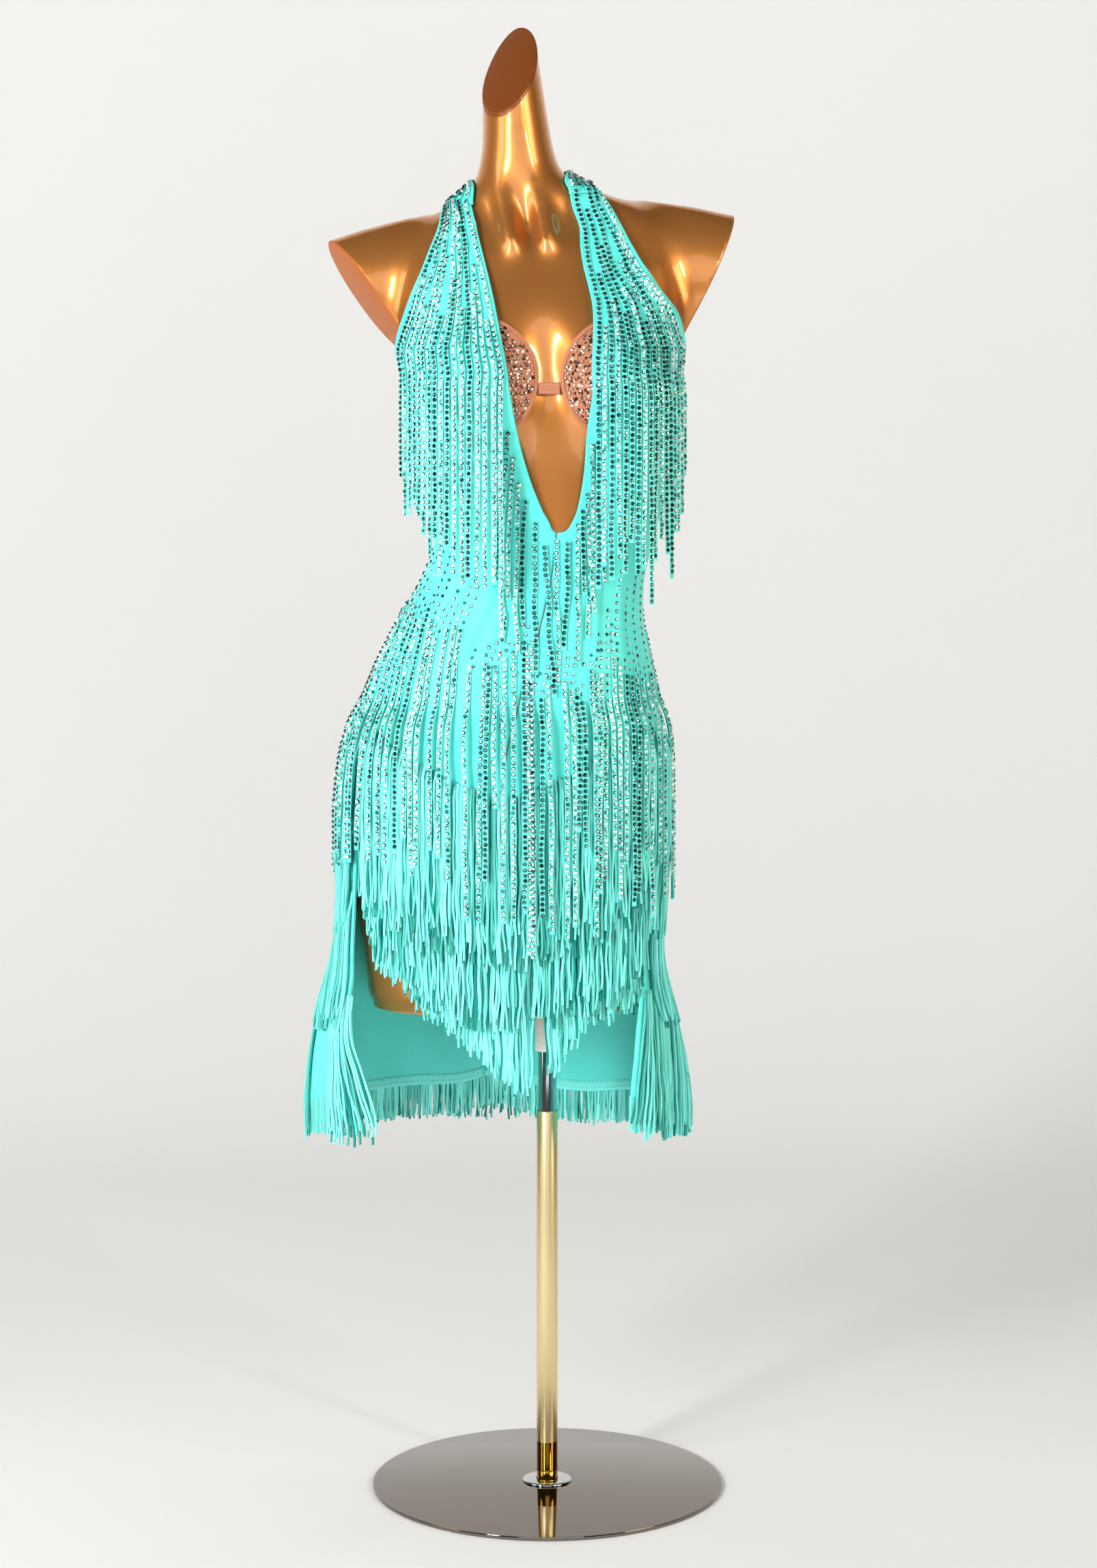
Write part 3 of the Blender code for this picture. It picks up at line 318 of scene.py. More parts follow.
# Soft lengthwise folds, each a ridge in the stretched cloth: between the V and the hips, and on the straps
Crease = namedtuple("Crease", "turn_top turn_bottom top bottom height width_deg")
CREASES = (
    Crease(-121.0, -124.0, 0.990, 0.900, 0.0016, 3.0),
    Crease(-112.0, -117.0, 0.975, 0.845, 0.0020, 3.0),
    Crease(-104.0, -108.0, 0.955, 0.830, 0.0017, 2.8),
    Crease(-97.5, -99.0, 0.975, 0.820, 0.0012, 2.8),
    Crease(-91.5, -91.0, 0.975, 0.835, 0.0013, 2.8),
    Crease(-84.0, -82.0, 0.975, 0.800, 0.0014, 3.2),
    Crease(-75.0, -72.0, 0.960, 0.810, 0.0022, 3.6),
    Crease(-64.0, -60.0, 0.985, 0.860, 0.0022, 3.0),
    Crease(-137.0, -141.0, 0.980, 0.880, 0.0022, 3.4),
    Crease(-45.0, -42.0, 0.990, 0.850, 0.0022, 3.6),
    Crease(-108.0, -106.0, 0.830, 0.740, 0.0024, 2.4),
    Crease(-96.0, -95.0, 0.810, 0.730, 0.0026, 2.2),
    Crease(-86.0, -86.0, 0.815, 0.735, 0.0024, 2.2),
    Crease(-150.0, -146.0, 1.110, 0.960, 0.0026, 4.0),
    Crease(-28.0, -33.0, 1.110, 0.970, 0.0026, 4.0),
    Crease(24.0, 18.0, 0.960, 0.850, 0.0026, 4.0),
    Crease(58.0, 52.0, 0.930, 0.830, 0.0024, 5.0),
    Crease(92.0, 90.0, 0.915, 0.820, 0.0030, 5.0),
    Crease(122.0, 127.0, 0.930, 0.840, 0.0024, 5.0),
    Crease(156.0, 163.0, 0.960, 0.860, 0.0026, 4.0),
)
STRAP_CREASES = (
    Crease(-118.0, -128.0, 1.325, 1.180, 0.0020, 2.4),
    Crease(-124.0, -140.0, 1.318, 1.190, 0.0020, 2.6),
    Crease(-66.0, -56.0, 1.325, 1.190, 0.0020, 2.4),
    Crease(-58.0, -42.0, 1.315, 1.195, 0.0020, 2.6),
)


def crease_rise(z, turn, creases):
    """How far folds stand out at heights and turns."""
    rise = np.zeros(np.broadcast(z, turn).shape)
    for fold in creases:
        share = (z - fold.bottom) / (fold.top - fold.bottom)
        fade = smooth(share * 3) * smooth((1 - share) * 3)
        middle = fold.turn_bottom + (fold.turn_top - fold.turn_bottom) * share
        away = (np.mod(turn - middle + 180, 360) - 180) / fold.width_deg
        rise = rise + fold.height * fade * np.exp(-(away**2))
    return rise


def section_point(z, turn, bumps, creases=()):
    """Points on the trunk at heights and turns, with bumps and creases raised off it."""
    z, turn = np.broadcast_arrays(np.asarray(z, float), np.asarray(turn, float))
    s = Section(z, *(between(TRUNK, "z", z, field) for field in Section._fields[1:]))
    c, n = np.cos(np.radians(turn)), np.sin(np.radians(turn))
    across = np.where(c >= 0, s.right - s.mid, s.mid - s.left)
    deep = (s.back - s.front) / 2
    x = s.mid + across * power(c, 2 / s.fullness)
    y = (s.front + s.back) / 2 + deep * power(n, 2 / s.fullness)
    out_x, out_y = power(c, 2 - 2 / s.fullness) / across, power(n, 2 - 2 / s.fullness) / deep
    size = np.hypot(out_x, out_y)
    rise = crease_rise(z, turn, creases)
    for bump in bumps:
        facing = smooth(-n * 2.2) if bump.front else smooth(n * 2.2)
        spread_z = np.where(z > bump.z, bump.spread_up, bump.spread_down)
        away = ((x - s.mid - bump.x_from_mid) / bump.spread_x) ** 2 + ((z - bump.z) / spread_z) ** 2
        rise = rise + bump.height * np.exp(-away) * facing
    return np.stack([x + out_x / size * rise, y + out_y / size * rise, z], axis=-1)


def skirt_surface(z, turn):
    """The back skirt's base surface, flared off the form's section, with its flutes."""
    z, turn = np.broadcast_arrays(np.asarray(z, float), np.asarray(turn, float))
    base = section_point(z, turn, CLOTH_BUMPS, CREASES)
    c, n = np.cos(np.radians(turn)), np.sin(np.radians(turn))
    left, right, back = (between(FLARE, "z", z, field) for field in ("left", "right", "back"))
    side = np.where(c < 0, left, right)
    flare = side + (back - side) * np.where(n > 0, n * n, 0)
    growth = smooth((FLUTE_TOP - z) / (FLUTE_TOP - HEM))
    for flute in FLUTES:
        away = (turn - flute.turn_deg) / flute.width_deg
        flare = flare + flute.depth * growth * np.exp(-(away**2))
    flare = np.where(z >= FLARE[1].z, 0, flare)
    return base + np.stack([c * flare, n * flare, 0 * z], axis=-1)


def form_surface(z, turn):
    return section_point(z, turn, FORM_BUMPS + FORM_RELIEF)


def cloth_surface(z, turn):
    """The dress's base surface, which lies closer to the form as the straps near the neck."""
    points = section_point(z, turn, CLOTH_BUMPS, CREASES + STRAP_CREASES)
    middle = np.array([-0.02, 0.018])
    inward = points[..., :2] - middle
    closer = STRAP_DRAW_IN * smooth((points[..., 2] - 1.235) / 0.070)
    points[..., :2] -= unit(inward) * closer[..., None]
    return points


def normals_of(surface, z, turn):
    """The directions out of a surface."""
    dz, dt = 0.002, 0.8
    up = surface(z + dz, turn) - surface(z - dz, turn)
    around = surface(z, turn + dt) - surface(z, turn - dt)
    return unit(np.cross(around, up))


def lifted(surface, z, turn, out):
    """Points of a surface, moved out along its own normal."""
    return surface(z, turn) + normals_of(surface, z, turn) * np.asarray(out)[..., None]


# How many times a search for a turn halves its range
HALVINGS = 26
HANG_HALVINGS = 11


def turn_at(surface, z, x):
    """The turns on the front half at which a surface has these x."""
    z, x = np.broadcast_arrays(np.asarray(z, float), np.asarray(x, float))
    low, high = np.full(z.shape, -180.0), np.zeros(z.shape)
    for _ in range(HALVINGS):
        middle = (low + high) / 2
        inside = surface(z, middle)[..., 0] < x
        low, high = np.where(inside, middle, low), np.where(inside, high, middle)
    return (low + high) / 2


def strap_limits(z, side):
    """The inner and outer edges of a front, as turns. side is -1 on the left, 1 on the right."""
    name = "left" if side < 0 else "right"
    z = np.asarray(z, float)
    v_turn = turn_at(cloth_surface, z, between(V_EDGE, "z", z, name))
    strap_turn = turn_at(cloth_surface, z, between(STRAP, "z", z, name + "_in"))
    inner = np.where(z <= V_POINT, FRONT, np.where(z <= V_EDGE[-1].z, v_turn, strap_turn))
    seam = -180.0 if side < 0 else 0.0
    edge = turn_at(cloth_surface, z, between(STRAP, "z", z, name + "_out"))
    outer = seam + (edge - seam) * smooth((z - SIDE_TOP) / 0.050)
    gap = SEAM_GAP_DEG * side
    return inner + gap, outer - gap


def hem_shift(turn):
    """How far the back skirt's hem is from its height at the side: it rises forwards and falls behind."""
    n = np.sin(np.radians(turn))
    return -n * np.where(n > 0, HEM_FALL_BACK, HEM_RISE_FRONT)


def skirt_edge(z, side):
    """The turn of the back skirt's front edge. side is -1 on the left (past 180), 1 on the right."""
    if side > 0:
        return FRONT + between(FLARE, "z", z, "edge_right")
    return 360 + FRONT - between(FLARE, "z", z, "edge_left")


def apron_hem(turn):
    side = np.clip(np.abs(turn - FRONT) / APRON_HALF_DEG, 0, 1)
    return APRON_HEM_CENTRE + (APRON_HEM_SIDE - APRON_HEM_CENTRE) * side


def pushed_out(points, surface, out):
    """Moves hanging points straight out from the trunk's middle to a surface, where they are inside it."""
    z = points[:, 2]
    mid, front, back = (between(TRUNK, "z", z, field) for field in ("mid", "front", "back"))
    middle = np.stack([mid, (front + back) / 2], axis=-1)
    aim = points[:, :2] - middle
    guess = np.degrees(np.arctan2(aim[:, 1], aim[:, 0]))
    low, high = guess - 30, guess + 30
    for _ in range(HANG_HALVINGS):
        turn = (low + high) / 2
        shell = lifted(surface, z, turn, out)[:, :2] - middle
        short = shell[:, 0] * aim[:, 1] - shell[:, 1] * aim[:, 0] > 0
        low, high = np.where(short, turn, low), np.where(short, high, turn)
    reach, there = np.hypot(*aim.T), np.hypot(*shell.T)
    grown = aim * np.maximum(there / reach, 1)[:, None]
    return np.concatenate([middle + grown, z[:, None]], axis=1)


def hang(roots, end_z, surface, stand_off, steps):
    """Lines that drop from their roots and are carried out by what lies under them."""
    lines = [roots]
    for k in range(1, steps + 1):
        here = lines[-1].copy()
        here[:, 2] = roots[:, 2] + (end_z - roots[:, 2]) * k / steps
        lines.append(pushed_out(here, surface, stand_off(here[:, 2])))
    return np.stack(lines, axis=1)


# ---------------------------------------------------------------- materials


def colour(code):
    """A linear colour from an sRGB hex value."""
    values = [int(code[i : i + 2], 16) / 255 for i in (1, 3, 5)]
    return (*(v / 12.92 if v <= 0.04045 else ((v + 0.055) / 1.055) ** 2.4 for v in values), 1)


def wire(tree, node, inputs):
    """Sets a node's inputs to values, or links them to a node's first output or to a named output."""
    for key, value in inputs.items():
        if isinstance(value, bpy.types.Node):
            value = value.outputs[0]
        if isinstance(value, bpy.types.NodeSocket):
            tree.links.new(value, node.inputs[key])
        else:
            node.inputs[key].default_value = value


def add(tree, kind, inputs=None, stops=(), **settings):
    """Adds a node with its settings and links. stops are a colour ramp's places and hex colours."""
    node = tree.nodes.new("ShaderNode" + kind)
    for key, value in settings.items():
        setattr(node, key, value)
    wire(tree, node, inputs or {})
    for place, code in stops:
        there = [stop for stop in node.color_ramp.elements if stop.position == place]
        stop = there[0] if there else node.color_ramp.elements.new(place)
        stop.color = colour(code)
    return node


def new_material(name, **shader_inputs):
    """A material whose constants sit on the shader's own sockets."""
    made = bpy.data.materials.new(name)
    made.use_nodes = True
    shader = made.node_tree.nodes["Principled BSDF"]
    wire(made.node_tree, shader, {key.replace("_", " "): value for key, value in shader_inputs.items()})
    return made, made.node_tree, shader


def clouded_material(name, dark, light, scale, detail=2.0, **shader_inputs):
    """A material in two tones that drift into each other. Gives the place on the piece too."""
    made, tree, shader = new_material(name, **shader_inputs)
    place = add(tree, "TexCoord").outputs["Object"]
    cloud = add(tree, "TexNoise", {"Vector": place, "Scale": scale, "Detail": detail})
    tint = add(tree, "ValToRGB", {"Fac": cloud}, ((0, dark), (1, light)))
    wire(tree, shader, {"Base Color": tint})
    return made, tree, shader, place


# Knit loops are 0.35 mm wide in the cloth, drawn three times as coarse so that they show
KNIT_LOOP = 0.001


def stretch_lycra(name, dark, light, roughness):
    """Warp-knitted nylon and elastane: close and satin, with fine lengthwise ribs."""
    made, tree, shader, _ = clouded_material(
        name, dark, light, 14.0, Roughness=roughness, Specular_IOR_Level=0.22
    )
    weave = add(tree, "TexCoord").outputs["UV"]
    knit = {"Vector": weave, "Scale": 1 / (KNIT_LOOP * math.tau), "Distortion": 0.6, "Detail": 1.0}
    ribs = add(tree, "TexWave", knit, bands_direction="X").outputs["Fac"]
    bump = add(tree, "Bump", {"Height": ribs, "Strength": 0.25, "Distance": 0.0003})
    wire(tree, shader, {"Normal": bump})
    return made


def chainette_cord(name, dark, light):
    """Loosely knitted viscose cord: soft, matt, and a little lighter or darker from cord to cord at random,
    with painted shade on the cords that lie under others.
    """
    made, tree, shader = new_material(name, Roughness=0.62, Specular_IOR_Level=0.2)
    tone = add(tree, "Attribute", attribute_name="tone").outputs["Fac"]
    tint = add(tree, "ValToRGB", {"Fac": tone}, ((0, dark), (1, light)))
    place = add(tree, "TexCoord").outputs["Object"]
    place = add(tree, "Mapping", {"Vector": place, "Scale": (1, 1, 0.45)})
    links = add(tree, "TexNoise", {"Vector": place, "Scale": 900.0, "Detail": 1.0})
    bump = add(tree, "Bump", {"Height": links, "Strength": 0.5, "Distance": 0.0006})
    wire(tree, shader, {"Base Color": tint, "Normal": bump})
    return made


def satin_ribbon(name, dark, light):
    """Narrow nylon tape with heat-cut edges, which catch the light."""
    made, tree, shader, place = clouded_material(
        name, dark, light, 40.0, Roughness=0.38, Specular_IOR_Level=0.5
    )
    weave = add(tree, "TexNoise", {"Vector": place, "Scale": 1400.0})
    wire(tree, shader, {"Normal": add(tree, "Bump", {"Height": weave, "Strength": 0.2, "Distance": 0.0002})})
    return made


def foiled_glass(name, dark, middle, light):
    """Machine-cut glass with foil behind it: each facet's colour is a painted reflection of a light or a dark
    part of the room, with painted highlights in white.
    """
    made, tree, shader = new_material(
        name, Roughness=0.08, Metallic=0.30, Coat_Weight=1.0, Coat_Roughness=0.02
    )
    facet = add(tree, "Attribute", attribute_name="facet").outputs["Fac"]
    tint = add(tree, "ValToRGB", {"Fac": facet}, ((0, dark), (0.45, middle), (1, light)))
    wire(tree, shader, {"Base Color": tint})
    return made


# What changes from sprayed lacquer to a sawn face
SAWN_CHANGES = (("Roughness", 0.34, 0.55), ("Metallic", 0.8, 0.25), ("Coat Weight", 1.0, 0.1))


def metallic_lacquer(name, dark, light):
    """Gold-bronze lacquer on glass fibre: fine flake under a thick clear gloss, but thin on sawn faces."""
    made, tree, shader = new_material(
        name, Coat_Roughness=0.035, Coat_IOR=1.5, Specular_Tint=colour("#FFC890")
    )
    sawn = add(tree, "Attribute", attribute_name="sawn").outputs["Fac"]
    for socket, sprayed, bare in SAWN_CHANGES:
        mixed = add(tree, "MapRange", {"Value": sawn, "To Min": sprayed, "To Max": bare})
        wire(tree, shader, {socket: mixed})
    place = add(tree, "TexCoord").outputs["Object"]
    flake = add(tree, "TexNoise", {"Vector": place, "Scale": 2600.0, "Detail": 1.0})
    place = add(tree, "Mapping", {"Vector": place, "Scale": (1, 1, 0.5)})
    cloud = add(tree, "TexNoise", {"Vector": place, "Scale": 3.0})
    mixed = add(tree, "Math", {0: flake, 1: 0.35}, operation="MULTIPLY")
    mixed = add(tree, "Math", {0: mixed, 1: cloud}, operation="ADD")
    mixed = add(tree, "Math", {0: mixed, 1: sawn}, operation="SUBTRACT")
    tint = add(tree, "ValToRGB", {"Fac": mixed}, ((0, dark), (1, light)))
    bump = add(tree, "Bump", {"Height": flake, "Strength": 0.06, "Distance": 0.0002})
    wire(tree, shader, {"Base Color": tint, "Normal": bump})
    return made


def bare_cut(name, dark, light):
    """The same lacquer sprayed thin over a sawn face: satin, with next to no clear coat."""
    made, tree, shader, place = clouded_material(
        name, dark, light, 300.0, 4.0, Roughness=0.42, Metallic=0.35, Coat_Weight=0.15
    )
    grain = add(tree, "TexNoise", {"Vector": place, "Scale": 700.0})
    wire(tree, shader, {"Normal": add(tree, "Bump", {"Height": grain, "Strength": 0.03, "Distance": 0.0002})})
    return made


def two_finish_tube(name, polished, satin):
    """Gold-lacquered steel tube: polished at its foot, then satin all the way up."""
    made, tree, shader = new_material(name, Metallic=1.0)
    place = add(tree, "TexCoord").outputs["Object"]
    height = add(tree, "SeparateXYZ", {"Vector": place}).outputs["Z"]
    above = add(tree, "Math", {0: height, 1: POLISHED_TO}, operation="GREATER_THAN")
    tint = add(tree, "ValToRGB", {"Fac": above}, ((0, polished), (1, satin)))
    gloss = add(tree, "MapRange", {"Value": above, "To Min": 0.07, "To Max": 0.34})
    wire(tree, shader, {"Base Color": tint, "Roughness": gloss})
    return made


def plated_steel(name, dark, light, roughness):
    """Steel with a bright plated finish, faintly streaked along its length by polishing."""
    made, tree, shader = new_material(name, Metallic=1.0)
    place = add(tree, "TexCoord").outputs["Object"]
    place = add(tree, "Mapping", {"Vector": place, "Scale": (12, 12, 0.4)})
    streak = add(tree, "TexNoise", {"Vector": place, "Scale": 60.0, "Detail": 3.0})
    gloss = add(tree, "MapRange", {"Value": streak, "To Min": roughness * 0.8, "To Max": roughness * 1.3})
    tint = add(tree, "ValToRGB", {"Fac": streak}, ((0, dark), (1, light)))
    wire(tree, shader, {"Base Color": tint, "Roughness": gloss})
    return made


def milky_plastic(name, dark, light):
    """Injection-moulded polypropylene, slightly see-through at its edges."""
    looks = {"Roughness": 0.32, "Subsurface_Weight": 0.2, "Subsurface_Scale": 0.004}
    return clouded_material(name, dark, light, 120.0, **looks)[0]


def sewing_thread(name, dark, light):
    """Spun polyester thread, a shade off the cloth it holds."""
    return clouded_material(name, dark, light, 500.0, Roughness=0.6, Sheen_Weight=0.3)[0]


def painted_wall(name, shade):
    """Matt wall paint. The wall's back is clear, so the dress shows from behind it."""
    made, tree, shader = new_material(name, Roughness=0.85, Base_Color=colour(shade))
    behind = add(tree, "NewGeometry").outputs["Backfacing"]
    seen = add(tree, "MixShader", {0: behind, 1: shader, 2: add(tree, "BsdfTransparent")})
    wire(tree, tree.nodes["Material Output"], {"Surface": seen})
    return made


def pale_glow(name, shade):
    """Plain lit paper, the same from everywhere."""
    made, tree, _ = new_material(name)
    glow = add(tree, "Emission", {"Color": colour(shade)})
    wire(tree, tree.nodes["Material Output"], {"Surface": glow})
    return made


# ---------------------------------------------------------------- making pieces

# Corners closer than this are one corner
MERGE_WITHIN = 0.00001


def add_piece(name, shape, finish, body=FORM, stands_for=(), crease_deg=40.0):
    """Makes an object of a bmesh or a mesh, and says what it rides on and stands for."""
    mesh = shape
    if isinstance(shape, bmesh.types.BMesh):
        mesh = bpy.data.meshes.new(name)
        shape.to_mesh(mesh)
        shape.free()
    mesh.shade_smooth()
    mesh.set_sharp_from_angle(angle=math.radians(crease_deg))
    mesh.materials.append(finish)
    piece_name = name
    # A piece that has a node's name stands for that node, and gets a name of its own
    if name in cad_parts:
        piece_name = f"{name}_made"
        stands_for = (name,)
    piece = bpy.data.objects.new(piece_name, mesh)
    bpy.context.collection.objects.link(piece)
    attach(piece, body)
    if stands_for:
        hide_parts(*stands_for)
    return piece


def rounded(bm, width, crease_deg=30.0, segments=2):
    """Rounds the sharp edges of a mesh."""
    limit = math.radians(crease_deg)
    sharp = [edge for edge in bm.edges if edge.is_manifold and edge.calc_face_angle() > limit]
    bmesh.ops.bevel(
        bm, geom=sharp, offset=width, offset_type="OFFSET", affect="EDGES", segments=segments, profile=0.5,
        material=-1, clamp_overlap=True,
    )  # fmt: skip


def ring(inner, outer, low, high):
    """The profile of a plain ring or disc, as (radius, z)."""
    return (inner, low), (outer, low), (outer, high), (inner, high)


def turned(name, profile, finish, body, segments=96, rounding=0.0004):
    """A round piece from a closed profile of (radius, z), spun about the pole."""
    bm = bmesh.new()
    verts = [bm.verts.new((radius, 0, z)) for radius, z in profile]
    pairs = list(zip(verts, verts[1:]))
    if profile[0][0] > 0:
        pairs.append((verts[-1], verts[0]))
    edges = [bm.edges.new(pair) for pair in pairs]
    bmesh.ops.spin(
        bm, geom=verts + edges, cent=(0, 0, 0), axis=(0, 0, 1), angle=math.tau, steps=segments,
        use_merge=True, use_duplicate=False,
    )  # fmt: skip
    bmesh.ops.remove_doubles(bm, verts=bm.verts[:], dist=MERGE_WITHIN)
    bmesh.ops.recalc_face_normals(bm, faces=bm.faces[:])
    rounded(bm, rounding)
    return add_piece(name, bm, finish, body, crease_deg=30.0)


def grid_mesh(points):
    """A bmesh grid through rows of points, with a UV map in metres."""
    rows, count = points.shape[:2]
    bm = bmesh.new()
    bmesh.ops.create_grid(bm, x_segments=count - 1, y_segments=rows - 1, size=1)
    u = run_along(points)
    u = u - u.mean(axis=1, keepdims=True)
    v = run_along(points.swapaxes(0, 1)).T
    flat = np.stack([u, v], axis=2).reshape(-1, 2)
    for vert, place in zip(bm.verts, points.reshape(-1, 3)):
        vert.co = place
    bm.verts.index_update()
    weave = bm.loops.layers.uv.new("weave")
    for face in bm.faces:
        for loop in face.loops:
            loop[weave].uv = flat[loop.vert.index]
    return bm


def thicken(piece, thickness):
    """Gives a sheet its thickness inwards."""
    wall = piece.modifiers.new("thickness", "SOLIDIFY")
    wall.thickness = thickness
    wall.offset = -1
    wall.use_even_offset = False


def cloth(
    name, points, finish,
    wall=CLOTH_OUT - CLOTH_IN,
):  # fmt: skip
    """A sheet from its outer face's points."""
    piece = add_piece(name, grid_mesh(points), finish, crease_deg=60.0)
    thicken(piece, wall)


def joined(name, template, places, tones=None, tone_name="tone"):
    """One mesh of many copies of a template, whose corners are given copy by copy."""
    copies, corners = places.shape[:2]
    faces = [[vert.index for vert in face.verts] for face in template.faces]
    template.free()
    loops = np.concatenate(faces)
    starts = np.concatenate([[0], np.cumsum([len(face) for face in faces])[:-1]])
    number = np.arange(copies)[:, None]
    mesh = bpy.data.meshes.new(name)
    mesh.vertices.add(copies * corners)
    mesh.vertices.foreach_set("co", places.astype(np.float32).ravel())
    mesh.loops.add(copies * len(loops))
    mesh.loops.foreach_set("vertex_index", (loops + number * corners).astype(np.int32).ravel())
    mesh.polygons.add(copies * len(faces))
    mesh.polygons.foreach_set("loop_start", (starts + number * len(loops)).astype(np.int32).ravel())
    mesh.update(calc_edges=True)
    if tones is not None:
        values = np.broadcast_to(tones, (copies, len(faces))).astype(np.float32)
        mesh.attributes.new(tone_name, "FLOAT", "FACE").data.foreach_set("value", values.ravel())
    return mesh


# Ribbons, cords and bindings are all square in section
STRAND_SIDES = 4


def strand_template(points):
    """An upright closed tube of unit size, with a ring of corners for each point of a line."""
    bm = bmesh.new()
    bmesh.ops.create_cone(bm, cap_ends=True, segments=STRAND_SIDES, radius1=1, radius2=1, depth=1)
    bmesh.ops.rotate(bm, verts=bm.verts[:], matrix=Matrix.Rotation(math.pi / STRAND_SIDES, 3, "Z"))
    upright = [edge for edge in bm.edges if abs(edge.verts[0].co.z - edge.verts[1].co.z) > 0.5]
    bmesh.ops.subdivide_edges(bm, edges=upright, cuts=points - 2)
    bm.verts.index_update()
    return bm


def frames_along(lines, facing):
    """For each point of each line: across, out and along."""
    along = unit(np.gradient(lines, axis=1))
    across = unit(np.cross(facing, along))
    return across, np.cross(along, across), along


def strands(name, lines, facing, half_width, half_depth, tones=None):
    """Tubes or tapes along lines. lines and facing hold copies by points by 3."""
    points = lines.shape[1]
    template = strand_template(points)
    corner = np.array([vert.co for vert in template.verts])
    level = np.rint((corner[:, 2] + 0.5) * (points - 1)).astype(int)
    across, out, _ = frames_along(lines, facing)
    spread = 1 / math.cos(math.pi / STRAND_SIDES)
    wide = corner[:, 0, None] * half_width * spread
    deep = corner[:, 1, None] * half_depth * spread
    places = lines[:, level] + across[:, level] * wide + out[:, level] * deep
    return joined(name, template, places, tones)


# A stone's height and the radius of its table, as shares of its own radius
STONE_HEIGHT = 0.72
TABLE_RADIUS = 0.52


def stone_template():
    """A cut stone of unit radius: a flat back, slanting facets and a table on top."""
    bm = bmesh.new()
    bmesh.ops.create_cone(bm, cap_ends=True, segments=8, radius1=1, radius2=TABLE_RADIUS, depth=STONE_HEIGHT)
    bmesh.ops.translate(bm, verts=bm.verts[:], vec=(0, 0, STONE_HEIGHT / 2))
    bm.verts.index_update()
    return bm


def stitch_template():
    bm = bmesh.new()
    bmesh.ops.create_icosphere(bm, subdivisions=1, radius=0.5)
    bm.verts.index_update()
    return bm


def placed(name, template, points, normals, directions, sizes, tones=None, tone_name="tone"):
    """Copies of a template standing on points: z along the normal, x along the direction."""
    corner = np.array([vert.co for vert in template.verts])
    z = unit(normals)
    y = unit(np.cross(z, directions))
    x = np.cross(y, z)
    sizes = np.broadcast_to(sizes, points.shape)
    places = points[:, None] + sum(
        corner[None, :, axis, None] * sizes[:, None, axis, None] * base[:, None]
        for axis, base in enumerate((x, y, z))
    )
    return joined(name, template, places, tones, tone_name)


def set_stones(name, points, normals, radius, finish, rng, painted_light_bias=0.0):
    """Stones seated on a surface, each spun and tipped a little, with facets painted light and dark as
    painted reflections.
    """
    count = len(points)
    tipped = unit(normals + rng.normal(0, 0.07, (count, 3)))
    template = stone_template()
    side = np.array([math.atan2(face.normal.y, face.normal.x) for face in template.faces])
    flat = np.array([abs(face.normal.z) > 0.9 for face in template.faces])
    turn = rng.uniform(0, math.tau, (count, 1))
    # Painted reflection: a painted light level for each stone, the slanting facets painted light on one side
    # and dark on the other, and most tables given a painted highlight, some painted shade
    base = 0.70 + np.broadcast_to(painted_light_bias, (count,))[:, None] + rng.normal(0, 0.06, (count, 1))
    rim = base - 0.42 + 0.30 * np.cos(side[None] + turn) + rng.normal(0, 0.08, (count, len(side)))
    table = base + rng.choice([-0.30, 0.10], (count, 1), p=[0.22, 0.78])
    facet = np.clip(np.where(flat[None], table, rim), 0, 1)
    directions = np.cross(normals, rng.normal(0, 1, (count, 3)))
    sizes = radius * rng.uniform(0.94, 1.04, (count, 1))
    mesh = placed(name, template, points, tipped, directions, sizes, facet, "facet")
    add_piece(name, mesh, finish, crease_deg=15.0)


def along_rows(lines, facing, pitch, first=0.003, last=0.002):
    """Points at an even pitch on every line, with the out and along directions and the line's number."""
    _, out, along = frames_along(lines, facing)
    found = []
    for number, (line, line_out, line_along) in enumerate(zip(lines, out, along)):
        run = run_along(line)
        places = np.arange(first, run[-1] - last, pitch)
        values = np.concatenate([line, line_out, line_along, np.full((len(line), 1), number)], axis=1)
        found.append(np.stack([np.interp(places, run, column) for column in values.T], axis=1))
    found = np.concatenate(found)
    return found[:, :3], found[:, 3:6], found[:, 6:9], found[:, 9].round().astype(int)


# A stitch's size is along the thread, across it and up off the cloth. A zigzag leans to either side by turns.
Stitch = namedtuple("Stitch", "pitch size lean_deg zigzag")
SEAM_STITCH = Stitch(0.0028, (0.0022, 0.0005, 0.0004), 0, False)
HEM_COVER_STITCH = Stitch(0.0022, (0.0052, 0.0006, 0.0006), 62, True)
EDGE_COVER_STITCH = Stitch(0.0022, (0.0046, 0.0006, 0.0006), 62, True)
BRIDGE_STITCH = Stitch(0.0014, (0.0019, 0.0004, 0.0004), 50, True)


def stitches(name, lines, facing, stitch, finish):
    """Short raised threads along lines."""
    points, out, along, _ = along_rows(lines, facing, stitch.pitch, stitch.pitch / 2, 0)
    across = np.cross(out, along)
    side = np.where(np.arange(len(points)) % 2 == 0, 1.0, -1.0)[:, None] if stitch.zigzag else 1.0
    directions = along + across * side * math.tan(math.radians(stitch.lean_deg))
    mesh = placed(name, stitch_template(), points, out, directions, np.array(stitch.size))
    add_piece(name, mesh, finish)


# ---------------------------------------------------------------- stand


